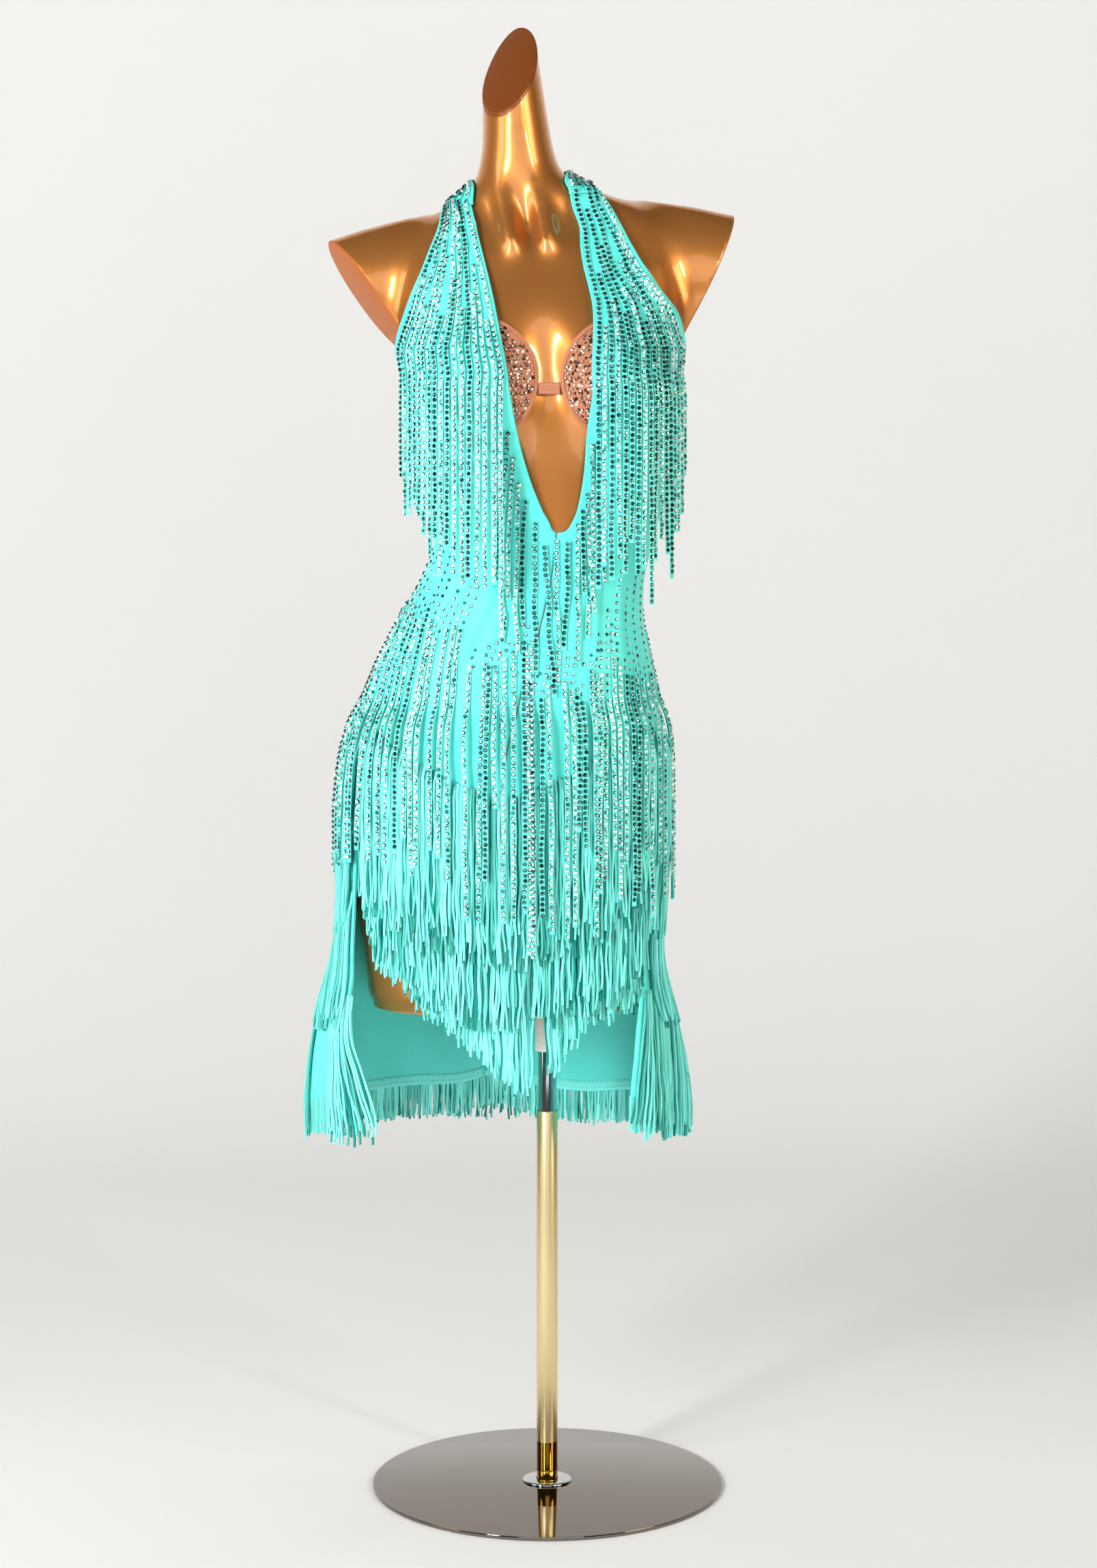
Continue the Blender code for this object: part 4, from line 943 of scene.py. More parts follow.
def make_stand(mirror, gold_tube, chrome, plastic):
    disc = ring(0, BASE_RADIUS, 0, BASE_THICKNESS)
    turned("base_disc", disc, mirror, STAND, segments=160, rounding=0.0011)
    low = BASE_THICKNESS + FIT_GAP
    high = low + FLANGE_THICKNESS
    bore = OUTER_TUBE_RADIUS + FIT_GAP
    flange = (
        (bore, low),
        (FLANGE_RADIUS, low),
        (FLANGE_RADIUS, low + FLANGE_THICKNESS * 0.45),
        (FLANGE_RADIUS - 0.002, low + FLANGE_THICKNESS * 0.85),
        (FLANGE_RADIUS - 0.005, high),
        (bore, high),
    )
    turned("base_flange", flange, chrome, STAND)
    outer = ring(OUTER_TUBE_BORE, OUTER_TUBE_RADIUS, low, OUTER_TUBE_TOP)
    turned("outer_tube", outer, gold_tube, STAND)
    top = FORM_BOTTOM - FIT_GAP
    inner = ring(INNER_TUBE_BORE, INNER_TUBE_RADIUS, top - INNER_TUBE_LENGTH, top)
    turned("inner_tube", inner, chrome, FORM)
    collar = ring(INNER_TUBE_RADIUS + FIT_GAP, COLLAR_RADIUS, COLLAR_BOTTOM, top)
    turned("socket_collar", collar, plastic, FORM, rounding=0.0007)


# ---------------------------------------------------------------- form

# The grid of the form, in turns and heights
TORSO_TURNS = np.linspace(-180, 180, 121)
TORSO_HEIGHTS = np.arange(FORM_BOTTOM + RIM_ROUNDING + 0.004, 1.540, 0.005)
ARM_SIDES = 60
ARM_RINGS = 24
# Corners left on a cut's rim closer than this are drawn together
CUT_RIM_MERGE = 0.0012
# A cut's rim is rounded by insets at these shares of its width
RIM_SHARES = (0.9, 0.5, 0.25)
# Far enough to cut a whole mesh
ALL = 9.0


def loft(rings):
    """A closed shell through rings of points, whose first and last columns meet."""
    bm = grid_mesh(rings)
    bmesh.ops.remove_doubles(bm, verts=bm.verts[:], dist=MERGE_WITHIN)
    bmesh.ops.holes_fill(bm, edges=[edge for edge in bm.edges if edge.is_boundary], sides=0)
    bmesh.ops.recalc_face_normals(bm, faces=bm.faces[:])
    return bm


def cut_away(bm, plane, keep_below=True, reach=ALL):
    """Cuts a closed mesh by a plane, within reach of its point, and closes the cut. Gives the new faces."""
    near = {face for face in bm.faces if (face.calc_center_median() - plane.point).length < reach}
    near_edges = {edge for face in near for edge in face.edges}
    near_verts = {vert for face in near for vert in face.verts}
    bmesh.ops.bisect_plane(
        bm, geom=[*near_verts, *near_edges, *near], plane_co=plane.point, plane_no=plane.normal,
        clear_outer=keep_below, clear_inner=not keep_below,
    )  # fmt: skip
    bmesh.ops.remove_doubles(bm, verts=[v for v in bm.verts if v.is_boundary], dist=CUT_RIM_MERGE)
    filled = bmesh.ops.holes_fill(bm, edges=[e for e in bm.edges if e.is_boundary], sides=0)
    return filled["faces"]


def eased_cut(bm, plane, width, reach=ALL):
    """A cut whose rim is rounded over."""
    sawn = bm.faces.layers.float.get("sawn") or bm.faces.layers.float.new("sawn")
    cut = cut_away(bm, plane, reach=reach)
    for face in cut:
        face[sawn] = 1.0
    for share in RIM_SHARES:
        bmesh.ops.inset_region(bm, faces=cut, thickness=width * (1.15 - share), depth=width * share * 0.6)


def torso_rings():
    """Rings from the rounded rim of the flat end up to the top."""
    rim = []
    for angle in np.radians(np.linspace(90, 0, 5)):
        back = RIM_ROUNDING * (1 - math.cos(math.pi / 2 - angle))
        z = FORM_BOTTOM + RIM_ROUNDING * (1 - math.sin(angle))
        ring_points = lifted(form_surface, FORM_BOTTOM, TORSO_TURNS, -back)
        ring_points[:, 2] = z
        rim.append(ring_points)
    return np.concatenate([np.stack(rim), form_surface(*crossed(TORSO_HEIGHTS, TORSO_TURNS))])


def arm_rings(table):
    angles = np.linspace(0, math.tau, ARM_SIDES + 1)
    xs = np.linspace(table[0].x, table[-1].x, ARM_RINGS)
    top, bottom, depth, y = (between(table, "x", xs, f)[:, None] for f in ArmSection._fields[1:])
    heights = (top + bottom) / 2 + (top - bottom) / 2 * np.sin(angles)
    return np.stack(np.broadcast_arrays(xs[:, None], y + depth * np.cos(angles), heights), axis=2)


FORM_VOXEL = 0.0038
FIRST_PASSES = 8
ARM_REACH = 0.160
ARM_RIM = 0.0016
NECK_RIM = 0.0014
# How far from the join of an arm and the trunk the surface is blended, as shares of their sizes
ARM_BLENDS = ((0.42, 16), (0.26, 20), (0.13, 16))


def smoothed(bm, verts, passes):
    for _ in range(passes):
        bmesh.ops.smooth_vert(bm, verts=verts, factor=0.5, use_axis_x=True, use_axis_y=True, use_axis_z=True)


def from_join(places, table):
    """How far points of the form are from where an arm meets the trunk, as a share of their sizes."""
    x, y, z = places.T
    left, right, mid, front, back, fullness = (between(TRUNK, "z", z, f) for f in Section._fields[1:])
    across = np.where(x > mid, right - mid, mid - left)
    deep = (back - front) / 2
    trunk = np.abs((x - mid) / across) ** fullness + np.abs((y - (front + back) / 2) / deep) ** fullness
    top, bottom, depth, arm_y = (between(table, "x", x, f) for f in ArmSection._fields[1:])
    arm = np.hypot((y - arm_y) / depth, (z - (top + bottom) / 2) / ((top - bottom) / 2))
    beyond = np.where((x > table[0].x) & (x < table[-1].x), 0, ALL)
    return np.abs(trunk - 1) + np.abs(arm - 1) + beyond


def make_form(lacquer, cap_finish):
    torso = loft(torso_rings())
    for table in (LEFT_ARM, RIGHT_ARM):
        arm = loft(arm_rings(table))
        part = bpy.data.meshes.new("arm_rough")
        arm.to_mesh(part)
        arm.free()
        torso.from_mesh(part)
    whole = bpy.data.meshes.new("form_rough")
    torso.to_mesh(whole)
    torso.free()
    rough = bpy.data.objects.new("form_rough", whole)
    bpy.context.collection.objects.link(rough)
    merge = rough.modifiers.new("merge", "REMESH")
    merge.mode = "VOXEL"
    merge.voxel_size = FORM_VOXEL
    bm = bmesh.new()
    bm.from_object(rough, bpy.context.evaluated_depsgraph_get())
    bpy.data.objects.remove(rough)
    smoothed(bm, bm.verts[:], FIRST_PASSES)
    places = np.array([vert.co for vert in bm.verts])
    away = np.minimum(from_join(places, LEFT_ARM[::-1]), from_join(places, RIGHT_ARM))
    for share, passes in ARM_BLENDS:
        smoothed(bm, [vert for vert, value in zip(bm.verts, away) if value < share], passes)
    normal = NECK_CUT.normal.normalized()
    cut_away(bm, Plane(NECK_CUT.point - normal * (NECK_CAP_THICKNESS + FIT_GAP), normal))
    eased_cut(bm, LEFT_ARM_CUT, ARM_RIM, ARM_REACH)
    eased_cut(bm, RIGHT_ARM_CUT, ARM_RIM, ARM_REACH)
    bmesh.ops.recalc_face_normals(bm, faces=bm.faces[:])
    add_piece("torso", bm, lacquer, FORM, ("form_torso",), crease_deg=50.0)

    cap = loft(torso_rings())
    cut_away(cap, Plane(NECK_CUT.point - normal * NECK_CAP_THICKNESS, normal), keep_below=False)
    eased_cut(cap, NECK_CUT, NECK_RIM)
    bmesh.ops.recalc_face_normals(cap, faces=cap.faces[:])
    add_piece("neck_end", cap, cap_finish, FORM, ("neck_cap",), crease_deg=35.0)


# ---------------------------------------------------------------- brassiere

CUP_HALF_WIDTH = 0.053
CUP_HALF_HEIGHT = 0.057
CUP_MIDDLE_Z = 1.149
CUP_LEFT_X = -0.064
CUP_RIGHT_X = 0.069
CUP_CELLS = 28
BRA_WALL = BRA_OUT - BRA_IN
BINDING_WIDTH = 0.0030
BRIDGE_LIFT = 0.0012
BRIDGE_MIDDLE_Z = 1.139
BRIDGE_HALF_HEIGHT = 0.0058
BRIDGE_GAP = 0.0008
BAND_MIDDLE_Z = 1.143
BAND_RISE = 0.014
BAND_HALF_HEIGHT = 0.009
BAND_GAP = 0.003
CRYSTAL_RADIUS = 0.0020
CRYSTAL_PITCH = 0.0041
CRYSTAL_JITTER = 0.0006
CRYSTALS_KEPT = 0.94


def cup_points(middle_x):
    """A disc of points on the form's front, dense enough for a domed cup."""
    t, s = crossed(np.linspace(-1, 1, CUP_CELLS + 1), np.linspace(-1, 1, CUP_CELLS + 1))
    x = middle_x + CUP_HALF_WIDTH * s * np.sqrt(1 - t * t / 2)
    z = CUP_MIDDLE_Z + CUP_HALF_HEIGHT * t * np.sqrt(1 - s * s / 2)
    return lifted(form_surface, z, turn_at(form_surface, z, x), BRA_OUT)


def make_bra(nude, crystal, thread, rng):
    for name, middle_x in (("bra_cup_left", CUP_LEFT_X), ("bra_cup_right", CUP_RIGHT_X)):
        cup = add_piece(name, grid_mesh(cup_points(middle_x)), nude, crease_deg=60.0)
        thicken(cup, BRA_WALL)
        # The bound edge runs round the cup
        angle = np.radians(np.linspace(0, 360, 91))[None]
        x = middle_x + CUP_HALF_WIDTH * 0.985 * np.cos(angle)
        z = CUP_MIDDLE_Z + CUP_HALF_HEIGHT * 0.985 * np.sin(angle)
        turn = turn_at(form_surface, z, x)
        rim = lifted(form_surface, z, turn, BRA_OUT + 0.0003)
        facing = normals_of(form_surface, z, turn)
        add_piece(name + "_binding", strands(name, rim, facing, 0.0019, 0.0007), nude)
        # Crystals lie close but in no order over all but the binding
        span = int(2 * CUP_HALF_HEIGHT / CRYSTAL_PITCH)
        across, up = np.meshgrid(np.arange(-span, span) * 0.5, np.arange(-span, span) * 0.5)
        across = (across + 0.25 * (up * 2 % 2)).ravel() * CRYSTAL_PITCH * 2
        up = up.ravel() * CRYSTAL_PITCH * 1.8
        keep = rng.uniform(0, 1, across.shape) < CRYSTALS_KEPT
        across, up = across[keep], up[keep]
        across = across + rng.normal(0, CRYSTAL_JITTER, across.shape)
        up = up + rng.normal(0, CRYSTAL_JITTER, up.shape)
        room_x, room_z = CUP_HALF_WIDTH - BINDING_WIDTH, CUP_HALF_HEIGHT - BINDING_WIDTH
        inside = (across / room_x) ** 2 + (up / room_z) ** 2 < 1
        x, z = middle_x + across[inside], CUP_MIDDLE_Z + up[inside]
        turn = turn_at(form_surface, z, x)
        points = lifted(form_surface, z, turn, BRA_OUT - 0.0002)
        normals = normals_of(form_surface, z, turn)
        radius = CRYSTAL_RADIUS * rng.uniform(0.80, 1.12, (len(x), 1))
        # A random painted light level for each crystal's painted reflection
        painted_light_bias = rng.normal(-0.10, 0.26, len(x))
        set_stones(name + "_crystals", points, normals, radius, crystal, rng, painted_light_bias)

    # The bridge runs straight from cup to cup, off the hollow between them
    inner_x = np.array([CUP_LEFT_X + CUP_HALF_WIDTH + BRIDGE_GAP, CUP_RIGHT_X - CUP_HALF_WIDTH - BRIDGE_GAP])
    rows = []
    for z in np.linspace(BRIDGE_MIDDLE_Z - BRIDGE_HALF_HEIGHT, BRIDGE_MIDDLE_Z + BRIDGE_HALF_HEIGHT, 7):
        ends = lifted(form_surface, z, turn_at(form_surface, z, inner_x), BRA_OUT + BRIDGE_LIFT)
        rows.append(ends[0] + (ends[1] - ends[0]) * np.linspace(0, 1, 12)[:, None])
    bridge = np.stack(rows)
    cloth("bra_bridge", bridge, nude, wall=BRA_WALL)
    forward = np.broadcast_to([0.0, -1.0, 0.0], bridge[:1].shape)
    for number, row in enumerate((1, 5)):
        line = bridge[row : row + 1] + [0, -0.0001, 0]
        stitches(f"bra_bridge_stitches_{number}", line, forward, BRIDGE_STITCH, thread)

    # The band goes from one cup's outer edge round the back to the other's
    start = turn_at(form_surface, 1.150, CUP_RIGHT_X + CUP_HALF_WIDTH + BAND_GAP)
    end = 360 + turn_at(form_surface, 1.150, CUP_LEFT_X - CUP_HALF_WIDTH - BAND_GAP)
    turn, share = np.meshgrid(np.linspace(start, end, 120), np.linspace(-1, 1, 7))
    middle = BAND_MIDDLE_Z + BAND_RISE * np.exp(-(((np.abs(turn - 90) - 92) / 30) ** 2))
    points = lifted(form_surface, middle + share * BAND_HALF_HEIGHT, turn, BRA_OUT)
    cloth("bra_band", points, nude, wall=BRA_WALL)


# ---------------------------------------------------------------- bodice

# Where the front fringe's first row is sewn: its height at the sides and in the middle
UPPER_ROW = (0.800, 0.731)
# How far below that row the seam of the fronts and the apron is
SEAM_BELOW_ROW = 0.010
# A turned edge is stitched at this share of its width
STITCHED_AT = 0.8
# How proud stitches lie on the cloth
STITCH_PROUD = 0.0004
# Rows of the fronts round the V's point, from its height, and the plain rows that they take the place of
V_ROWS = np.array([-0.0002, 0.0006, 0.0014, 0.0024, 0.0036])
V_ROWS_MIDDLE = 0.0016
V_ROWS_REACH = 0.0024


def front_root(turn, side_z, centre_z):
    share = np.abs(turn - FRONT) / (APRON_HALF_DEG - 1.0)
    return centre_z + (side_z - centre_z) * np.clip(share, 0, 1.3)


def edge_roll(distance, width=TURNED_EDGE):
    """How proud the cloth stands by its distance from a turned edge: doubled, with a dip at the stitches."""
    doubled = 0.0007 * smooth((width + 0.001 - distance) / 0.0015)
    dip = 0.0005 * np.exp(-(((distance - width * STITCHED_AT) / 0.0012) ** 2))
    rolled = -0.0007 * smooth((0.0012 - distance) / 0.0012)
    return doubled - dip + rolled


def front_seam(turn):
    """How high the seam of the fronts and the apron is: just under the fringe's first row."""
    return np.minimum(HIP_SEAM, front_root(turn, *UPPER_ROW) - SEAM_BELOW_ROW)


def front_grid(side, top):
    """Heights and turns over one halter front, from the hip seam to the top of its strap."""
    rows = np.linspace(HIP_SEAM, top, int((top - HIP_SEAM) / 0.0048))
    # Closer rows round off the V's point
    kept = np.abs(rows - V_POINT - V_ROWS_MIDDLE) > V_ROWS_REACH
    rows = np.sort(np.concatenate([rows[kept], V_POINT + V_ROWS]))
    inner, outer = strap_limits(rows, side)
    low, high = (outer, inner) if side < 0 else (inner, outer)
    # Closer columns at the edges, where the cloth is turned in
    even_share = np.linspace(0, 1, 76)
    closer = 0.5 - 0.5 * np.cos(even_share * np.pi) * (1 - 0.35 * (1 - np.abs(2 * even_share - 1)))
    turn = low[:, None] + (high - low)[:, None] * (even_share * 0.35 + closer * 0.65)
    # The lowest rows are drawn down to the seam
    drop = (HIP_SEAM - front_seam(turn)) * (1 - smooth((rows[:, None] - HIP_SEAM) / 0.12))
    return rows[:, None] - drop, turn


def make_bodice(lycra, thread):
    for name, side, top in (("bodice_left", -1, STRAP_TOP_LEFT), ("bodice_right", 1, STRAP_TOP_RIGHT)):
        z, turn = front_grid(side, top)
        run = run_along(cloth_surface(z, turn))
        ends = (run, run[:, -1:] - run)
        from_inner, from_outer = ends[::side]
        # The neckline's edge is turned in above the V, and the armhole's above the side seam
        inner_free = smooth((z - V_POINT - 0.002) / 0.006)
        outer_free = smooth((z - SIDE_TOP + 0.006) / 0.012)
        rise = edge_roll(from_inner) * inner_free + edge_roll(from_outer) * outer_free
        # Below the V the two halves meet in a seam that pulls in a little
        seam = -0.0009 * np.exp(-((from_inner / 0.0018) ** 2)) * (1 - inner_free)
        points = lifted(cloth_surface, z, turn, CLOTH_OUT + rise + seam)
        cloth(name, points, lycra)
        for edge, distance, low in (
            ("neckline", from_inner, V_POINT + 0.004),
            ("armhole", from_outer, SIDE_TOP),
        ):
            rows = np.where(z[:, 0] > low)[0]
            nearest = np.abs(distance[rows] - TURNED_EDGE * STITCHED_AT).argmin(axis=1)
            turns = np.convolve(np.pad(turn[rows, nearest], 2, mode="edge"), np.ones(5) / 5, mode="valid")
            line = lifted(cloth_surface, z[rows, 0], turns, CLOTH_OUT + STITCH_PROUD)[None]
            facing = normals_of(cloth_surface, z[rows, 0], turns)[None]
            stitches(f"{name}_{edge}_stitches", line, facing, SEAM_STITCH, thread)

    # The back starts at the side seams and dips to a low curve
    share, turn = crossed(np.linspace(0, 1, 62), np.linspace(SEAM_GAP_DEG, 180 - SEAM_GAP_DEG, 130))
    dip = np.sin(np.radians(turn)) ** 0.8
    top = SIDE_TOP - 0.001 - (SIDE_TOP - BACK_TOP) * dip
    z = HIP_SEAM + (top - HIP_SEAM) * share
    points = lifted(cloth_surface, z, turn, CLOTH_OUT + edge_roll(top - z))
    cloth("back_panel", points, lycra)
    stitched = top[-1] - TURNED_EDGE * STITCHED_AT
    line = lifted(cloth_surface, stitched, turn[-1], CLOTH_OUT + STITCH_PROUD)[None]
    facing = normals_of(cloth_surface, top[-1], turn[-1])[None]
    stitches("back_panel_stitches", line, facing, SEAM_STITCH, thread)

    # The neck band carries on from the two straps and joins them behind the nape
    share, place = crossed(np.linspace(0, 1, 12), np.linspace(0, 1, 150))
    points = lifted(cloth_surface, *on_neck_band(place, share), CLOTH_OUT)
    cloth("neck_band", points, lycra)


# The neck band's two edges, from the right strap's top round the nape to the left strap's
BandEdge = namedtuple("BandEdge", "place low_turn low_z high_turn high_z")
NECK_BAND = (
    BandEdge(0.00, -41.0, 1.3305, -64.0, 1.3305),
    BandEdge(0.05, -29.0, 1.3360, -49.0, 1.3430),
    BandEdge(0.13, -9.0, 1.3385, -25.0, 1.3510),
    BandEdge(0.25, 20.0, 1.3395, 12.0, 1.3550),
    BandEdge(0.50, 90.0, 1.3345, 90.0, 1.3530),
    BandEdge(0.75, 156.0, 1.3285, 166.0, 1.3480),
    BandEdge(0.87, 178.0, 1.3250, 199.0, 1.3440),
    BandEdge(0.95, 187.0, 1.3220, 217.0, 1.3350),
    BandEdge(1.00, 193.6, 1.3200, 230.3, 1.3200),
)


def on_neck_band(place, share):
    """Heights and turns on the neck band, by place along it and share of its width from the low edge."""
    low_turn, low_z, high_turn, high_z = (
        between(NECK_BAND, "place", place, field) for field in BandEdge._fields[1:]
    )
    return low_z + (high_z - low_z) * share, low_turn + (high_turn - low_turn) * share


# ---------------------------------------------------------------- skirts

INNER_BAND = 0.011
HEM_ROW = 0.009
# The turned bands lie just inside the cloth
BAND_OUT = CLOTH_IN - 0.0001
BAND_WALL = 0.0007
# The back hem rises in one soft flute and dips in another, as turns, heights and half widths
HEM_WAVES = ((91.0, 0.013, 9.0), (64.0, -0.006, 12.0))


def fluted(turn):
    waves = (rise * np.exp(-(((turn - place) / width) ** 2)) for place, rise, width in HEM_WAVES)
    return hem_shift(turn) + sum(waves)


def skirt_hem(turn):
    return HEM_SIDE + fluted(turn)


def skirt_grid(rows, count):
    """Heights and turns over the back skirt, from the hem up, between its two front edges."""
    share, place = crossed(np.linspace(0, 1, rows), np.linspace(0, 1, count))
    level = HIP_SEAM - (HIP_SEAM - HEM_SIDE) * (1 - share)
    start, end = skirt_edge(level, 1), skirt_edge(level, -1)
    turn = start + (end - start) * place
    return level + fluted(turn) * (1 - share) ** 2, turn


def make_skirts(lycra, painted_light_lining, thread):
    share, turn = crossed(np.linspace(0, 1, 40), FRONT + np.linspace(-APRON_HALF_DEG, APRON_HALF_DEG, 90))
    z = apron_hem(turn) + (front_seam(turn) - apron_hem(turn)) * share
    cloth("skirt_front", lifted(cloth_surface, z, turn, CLOTH_OUT), lycra)

    z, turn = skirt_grid(84, 250)
    rise = edge_roll(z - skirt_hem(turn), HEM_ROW)
    run = run_along(skirt_surface(z, turn))
    rise = rise + edge_roll(np.minimum(run, run[:, -1:] - run), HEM_ROW) * smooth((0.70 - z) / 0.02)
    points = lifted(skirt_surface, z, turn, CLOTH_OUT + rise)
    cloth("skirt_back", points, lycra)

    # The turned-in bands take the same lycra painted lighter, as painted light on the shaded inside
    def turned_in(name, band):
        cloth(name, band, painted_light_lining, wall=BAND_WALL)

    # Inside the hem the turned cloth shows as a band, held by a ribbed cover stitch
    start, end = skirt_edge(HEM_SIDE, 1), skirt_edge(HEM_SIDE, -1)
    turn = start + (end - start) * np.linspace(0.004, 0.996, 330)
    up, turns = crossed(np.linspace(0.0004, INNER_BAND, 6), turn)
    z = skirt_hem(turns) + up
    band = lifted(skirt_surface, z, turns, BAND_OUT)
    turned_in("hem_turning", band)
    inward = -normals_of(skirt_surface, z, turns)
    inner = band + inward * 0.0008
    stitches("hem_cover_stitches", inner[2:5:2], inward[2:5:2], HEM_COVER_STITCH, thread)
    outside = lifted(skirt_surface, z, turns, CLOTH_OUT + 0.0003)
    stitches("hem_outer_stitches", outside[4:5], -inward[4:5], SEAM_STITCH, thread)

    # The two front edges are turned and stitched in the same way
    for name, side in (("right", 1), ("left", -1)):
        level = np.linspace(HEM_SIDE + 0.010, 0.640, 70)
        edge = skirt_edge(level, side)
        radius = np.linalg.norm(skirt_surface(level, edge)[:, :2] - [-0.045, 0], axis=1)
        rows = []
        for distance in np.linspace(0.0006, 0.0098, 5):
            turn = edge + side * np.degrees(distance / radius)
            z = level + hem_shift(turn) * ((HIP_SEAM - level) / (HIP_SEAM - HEM_SIDE)) ** 2
            rows.append(lifted(skirt_surface, z, turn, BAND_OUT))
        band = np.stack(rows[::side], axis=1)
        turned_in(f"front_edge_turning_{name}", band)
        middle = np.stack([band[:, 1], band[:, 3]])
        inward = -unit(np.cross(band[:, 4] - band[:, 0], np.gradient(band[:, 0], axis=0)))
        inward = np.stack([inward, inward])
        cover = middle + inward * 0.0008
        stitches(f"front_edge_cover_stitches_{name}", cover, inward, EDGE_COVER_STITCH, thread)
        outside = band[:, 3 if side > 0 else 1] - inward[0] * 0.0019
        stitches(f"front_edge_outer_stitches_{name}", outside[None], -inward[:1], SEAM_STITCH, thread)


# ---------------------------------------------------------------- stoned ribbons

RIBBON_POINTS = 34


def even(lines, points):
    """The same lines with points evenly spaced along each."""
    run = run_along(lines)
    share = np.linspace(0, 1, points)
    return np.stack(
        [
            np.stack([np.interp(share, there, column) for column in line.T], axis=1)
            for there, line in zip(run / run[:, -1:], lines)
        ]
    )


def facing_of(lines):
    """Directions out from the trunk's middle, level with each point."""
    z = lines[..., 2]
    left, right, mid, front, back = (between(TRUNK, "z", z, f) for f in Section._fields[1:6])
    x, y = lines[..., 0] - mid, lines[..., 1] - (front + back) / 2
    across = np.where(x > 0, right - mid, mid - left)
    return unit(np.stack([x / across**2, y / ((back - front) / 2) ** 2, 0 * z], axis=-1))


def turned_about(vectors, axes, angles):
    """Vectors turned about axes by angles."""
    c, s = np.cos(angles)[..., None], np.sin(angles)[..., None]
    along = (vectors * axes).sum(axis=-1, keepdims=True)
    return vectors * c + np.cross(axes, vectors) * s + axes * along * (1 - c)


def loosened(lines, rng, sway, twist_deg, free_from):
    """Lets ribbons swing a little sideways and turn on themselves, more and more below a height."""
    across, out, along = frames_along(lines, facing_of(lines))
    z = lines[..., 2]
    free = smooth((free_from - z) / 0.10)
    each = (len(lines), 1)
    swing = rng.normal(0, sway, each) * free
    weave = rng.normal(0, sway * 0.4, each) * free
    swing = swing + weave * np.sin((free_from - z) * 60 + rng.uniform(0, 6, each))
    lift = np.abs(rng.normal(0, sway * 0.35, each)) * free
    lines = lines + across * swing[..., None] + out * lift[..., None]
    angle = np.radians(rng.normal(0, twist_deg, each)) * free
    return lines, turned_about(out, along, angle)


# How light or dark a ribbon's stones are painted, as painted reflection, and how often
RIBBON_PAINTED_LIGHT = ((0.20, 0.06, -0.42), (0.5, 0.2, 0.3))


def stoned_ribbons(name, lines, facing, tape, glass, rng, stands_for=(), painted_light=None):
    """Ribbons and the stones that cover them. The last argument says how light or dark each ribbon's stones
    are painted, as painted reflection.
    """
    mesh = strands(name, lines, facing, RIBBON_WIDTH / 2, RIBBON_THICKNESS / 2)
    add_piece(name, mesh, tape, FORM, stands_for)
    points, out, along, number = along_rows(lines, facing, STONE_PITCH)
    across = np.cross(out, along)
    # Painted light: a whole ribbon's stones are painted lighter or darker together, as if it were turned to
    # or from the light, and this changes slowly along its length
    chosen = rng.choice(RIBBON_PAINTED_LIGHT[0], len(lines), p=RIBBON_PAINTED_LIGHT[1])
    painted_light_bias = np.array(chosen if painted_light is None else painted_light)[number]
    painted_light_bias = painted_light_bias + 0.12 * np.sin(points[:, 2] * 40 + number * 1.7)
    jitter = rng.normal(0, 0.00025, (len(points), 2))
    points = points + out * RIBBON_THICKNESS / 2 + across * jitter[:, :1] + along * jitter[:, 1:]
    set_stones(name + "_stones", points, out, STONE_RADIUS, glass, rng, painted_light_bias)


CHEST_RIBBONS = 17
CHEST_RIBBON_SPACING = 0.0063
CHEST_HANG_FROM = 1.150
# How far the ribbons are spaced evenly as seen from the front, rather than round the body, by the bust
CHEST_EVEN_ACROSS = 0.85
# Where they end, from the outermost in
CHEST_LEFT_ENDS = (
    1.050, 1.016, 1.013, 1.024, 1.015, 0.996, 0.978, 0.992, 0.957, 0.984,
    0.955, 0.948, 0.953, 0.944, 0.940, 0.951, 0.895,
)  # fmt: skip
CHEST_RIGHT_ENDS = (
    1.055, 1.018, 0.998, 0.996, 0.954, 0.978, 0.990, 0.970, 0.926, 0.962,
    0.955, 0.989, 0.960, 0.971, 0.950, 0.965, 0.946,
)  # fmt: skip

# Ribbons that join beside the neckline as it runs in to the V, from their roots to their ends
PlacedRibbon = namedtuple("PlacedRibbon", "x z end_x end_z")
V_LEFT_RIBBONS = (
    PlacedRibbon(-0.0480, 1.150, -0.0490, 0.945),
    PlacedRibbon(-0.0410, 1.100, -0.0425, 0.888),
    PlacedRibbon(-0.0345, 1.075, -0.0365, 0.930),
    PlacedRibbon(-0.0280, 1.050, -0.0305, 0.878),
    PlacedRibbon(-0.0215, 1.032, -0.0240, 0.903),
)
V_RIGHT_RIBBONS = (
    PlacedRibbon(0.0520, 1.150, 0.0515, 0.948),
    PlacedRibbon(0.0455, 1.088, 0.0455, 0.918),
    PlacedRibbon(0.0395, 1.040, 0.0395, 0.892),
    PlacedRibbon(0.0345, 1.022, 0.0330, 0.935),
)
# The ribbons below the V, and how light or dark each one's stones are painted, as painted reflection
CENTRE_RIBBONS = (
    PlacedRibbon(-0.0117, 1.010, -0.0118, 0.860),
    PlacedRibbon(-0.0023, 0.986, 0.0058, 0.835),
    PlacedRibbon(0.0092, 0.992, 0.0099, 0.847),
    PlacedRibbon(0.0200, 0.9895, 0.0166, 0.881),
    PlacedRibbon(0.0301, 1.008, 0.0267, 0.870),
)
CENTRE_PAINTED_LIGHT = (-0.35, -0.42, 0.06, -0.42, 0.16)


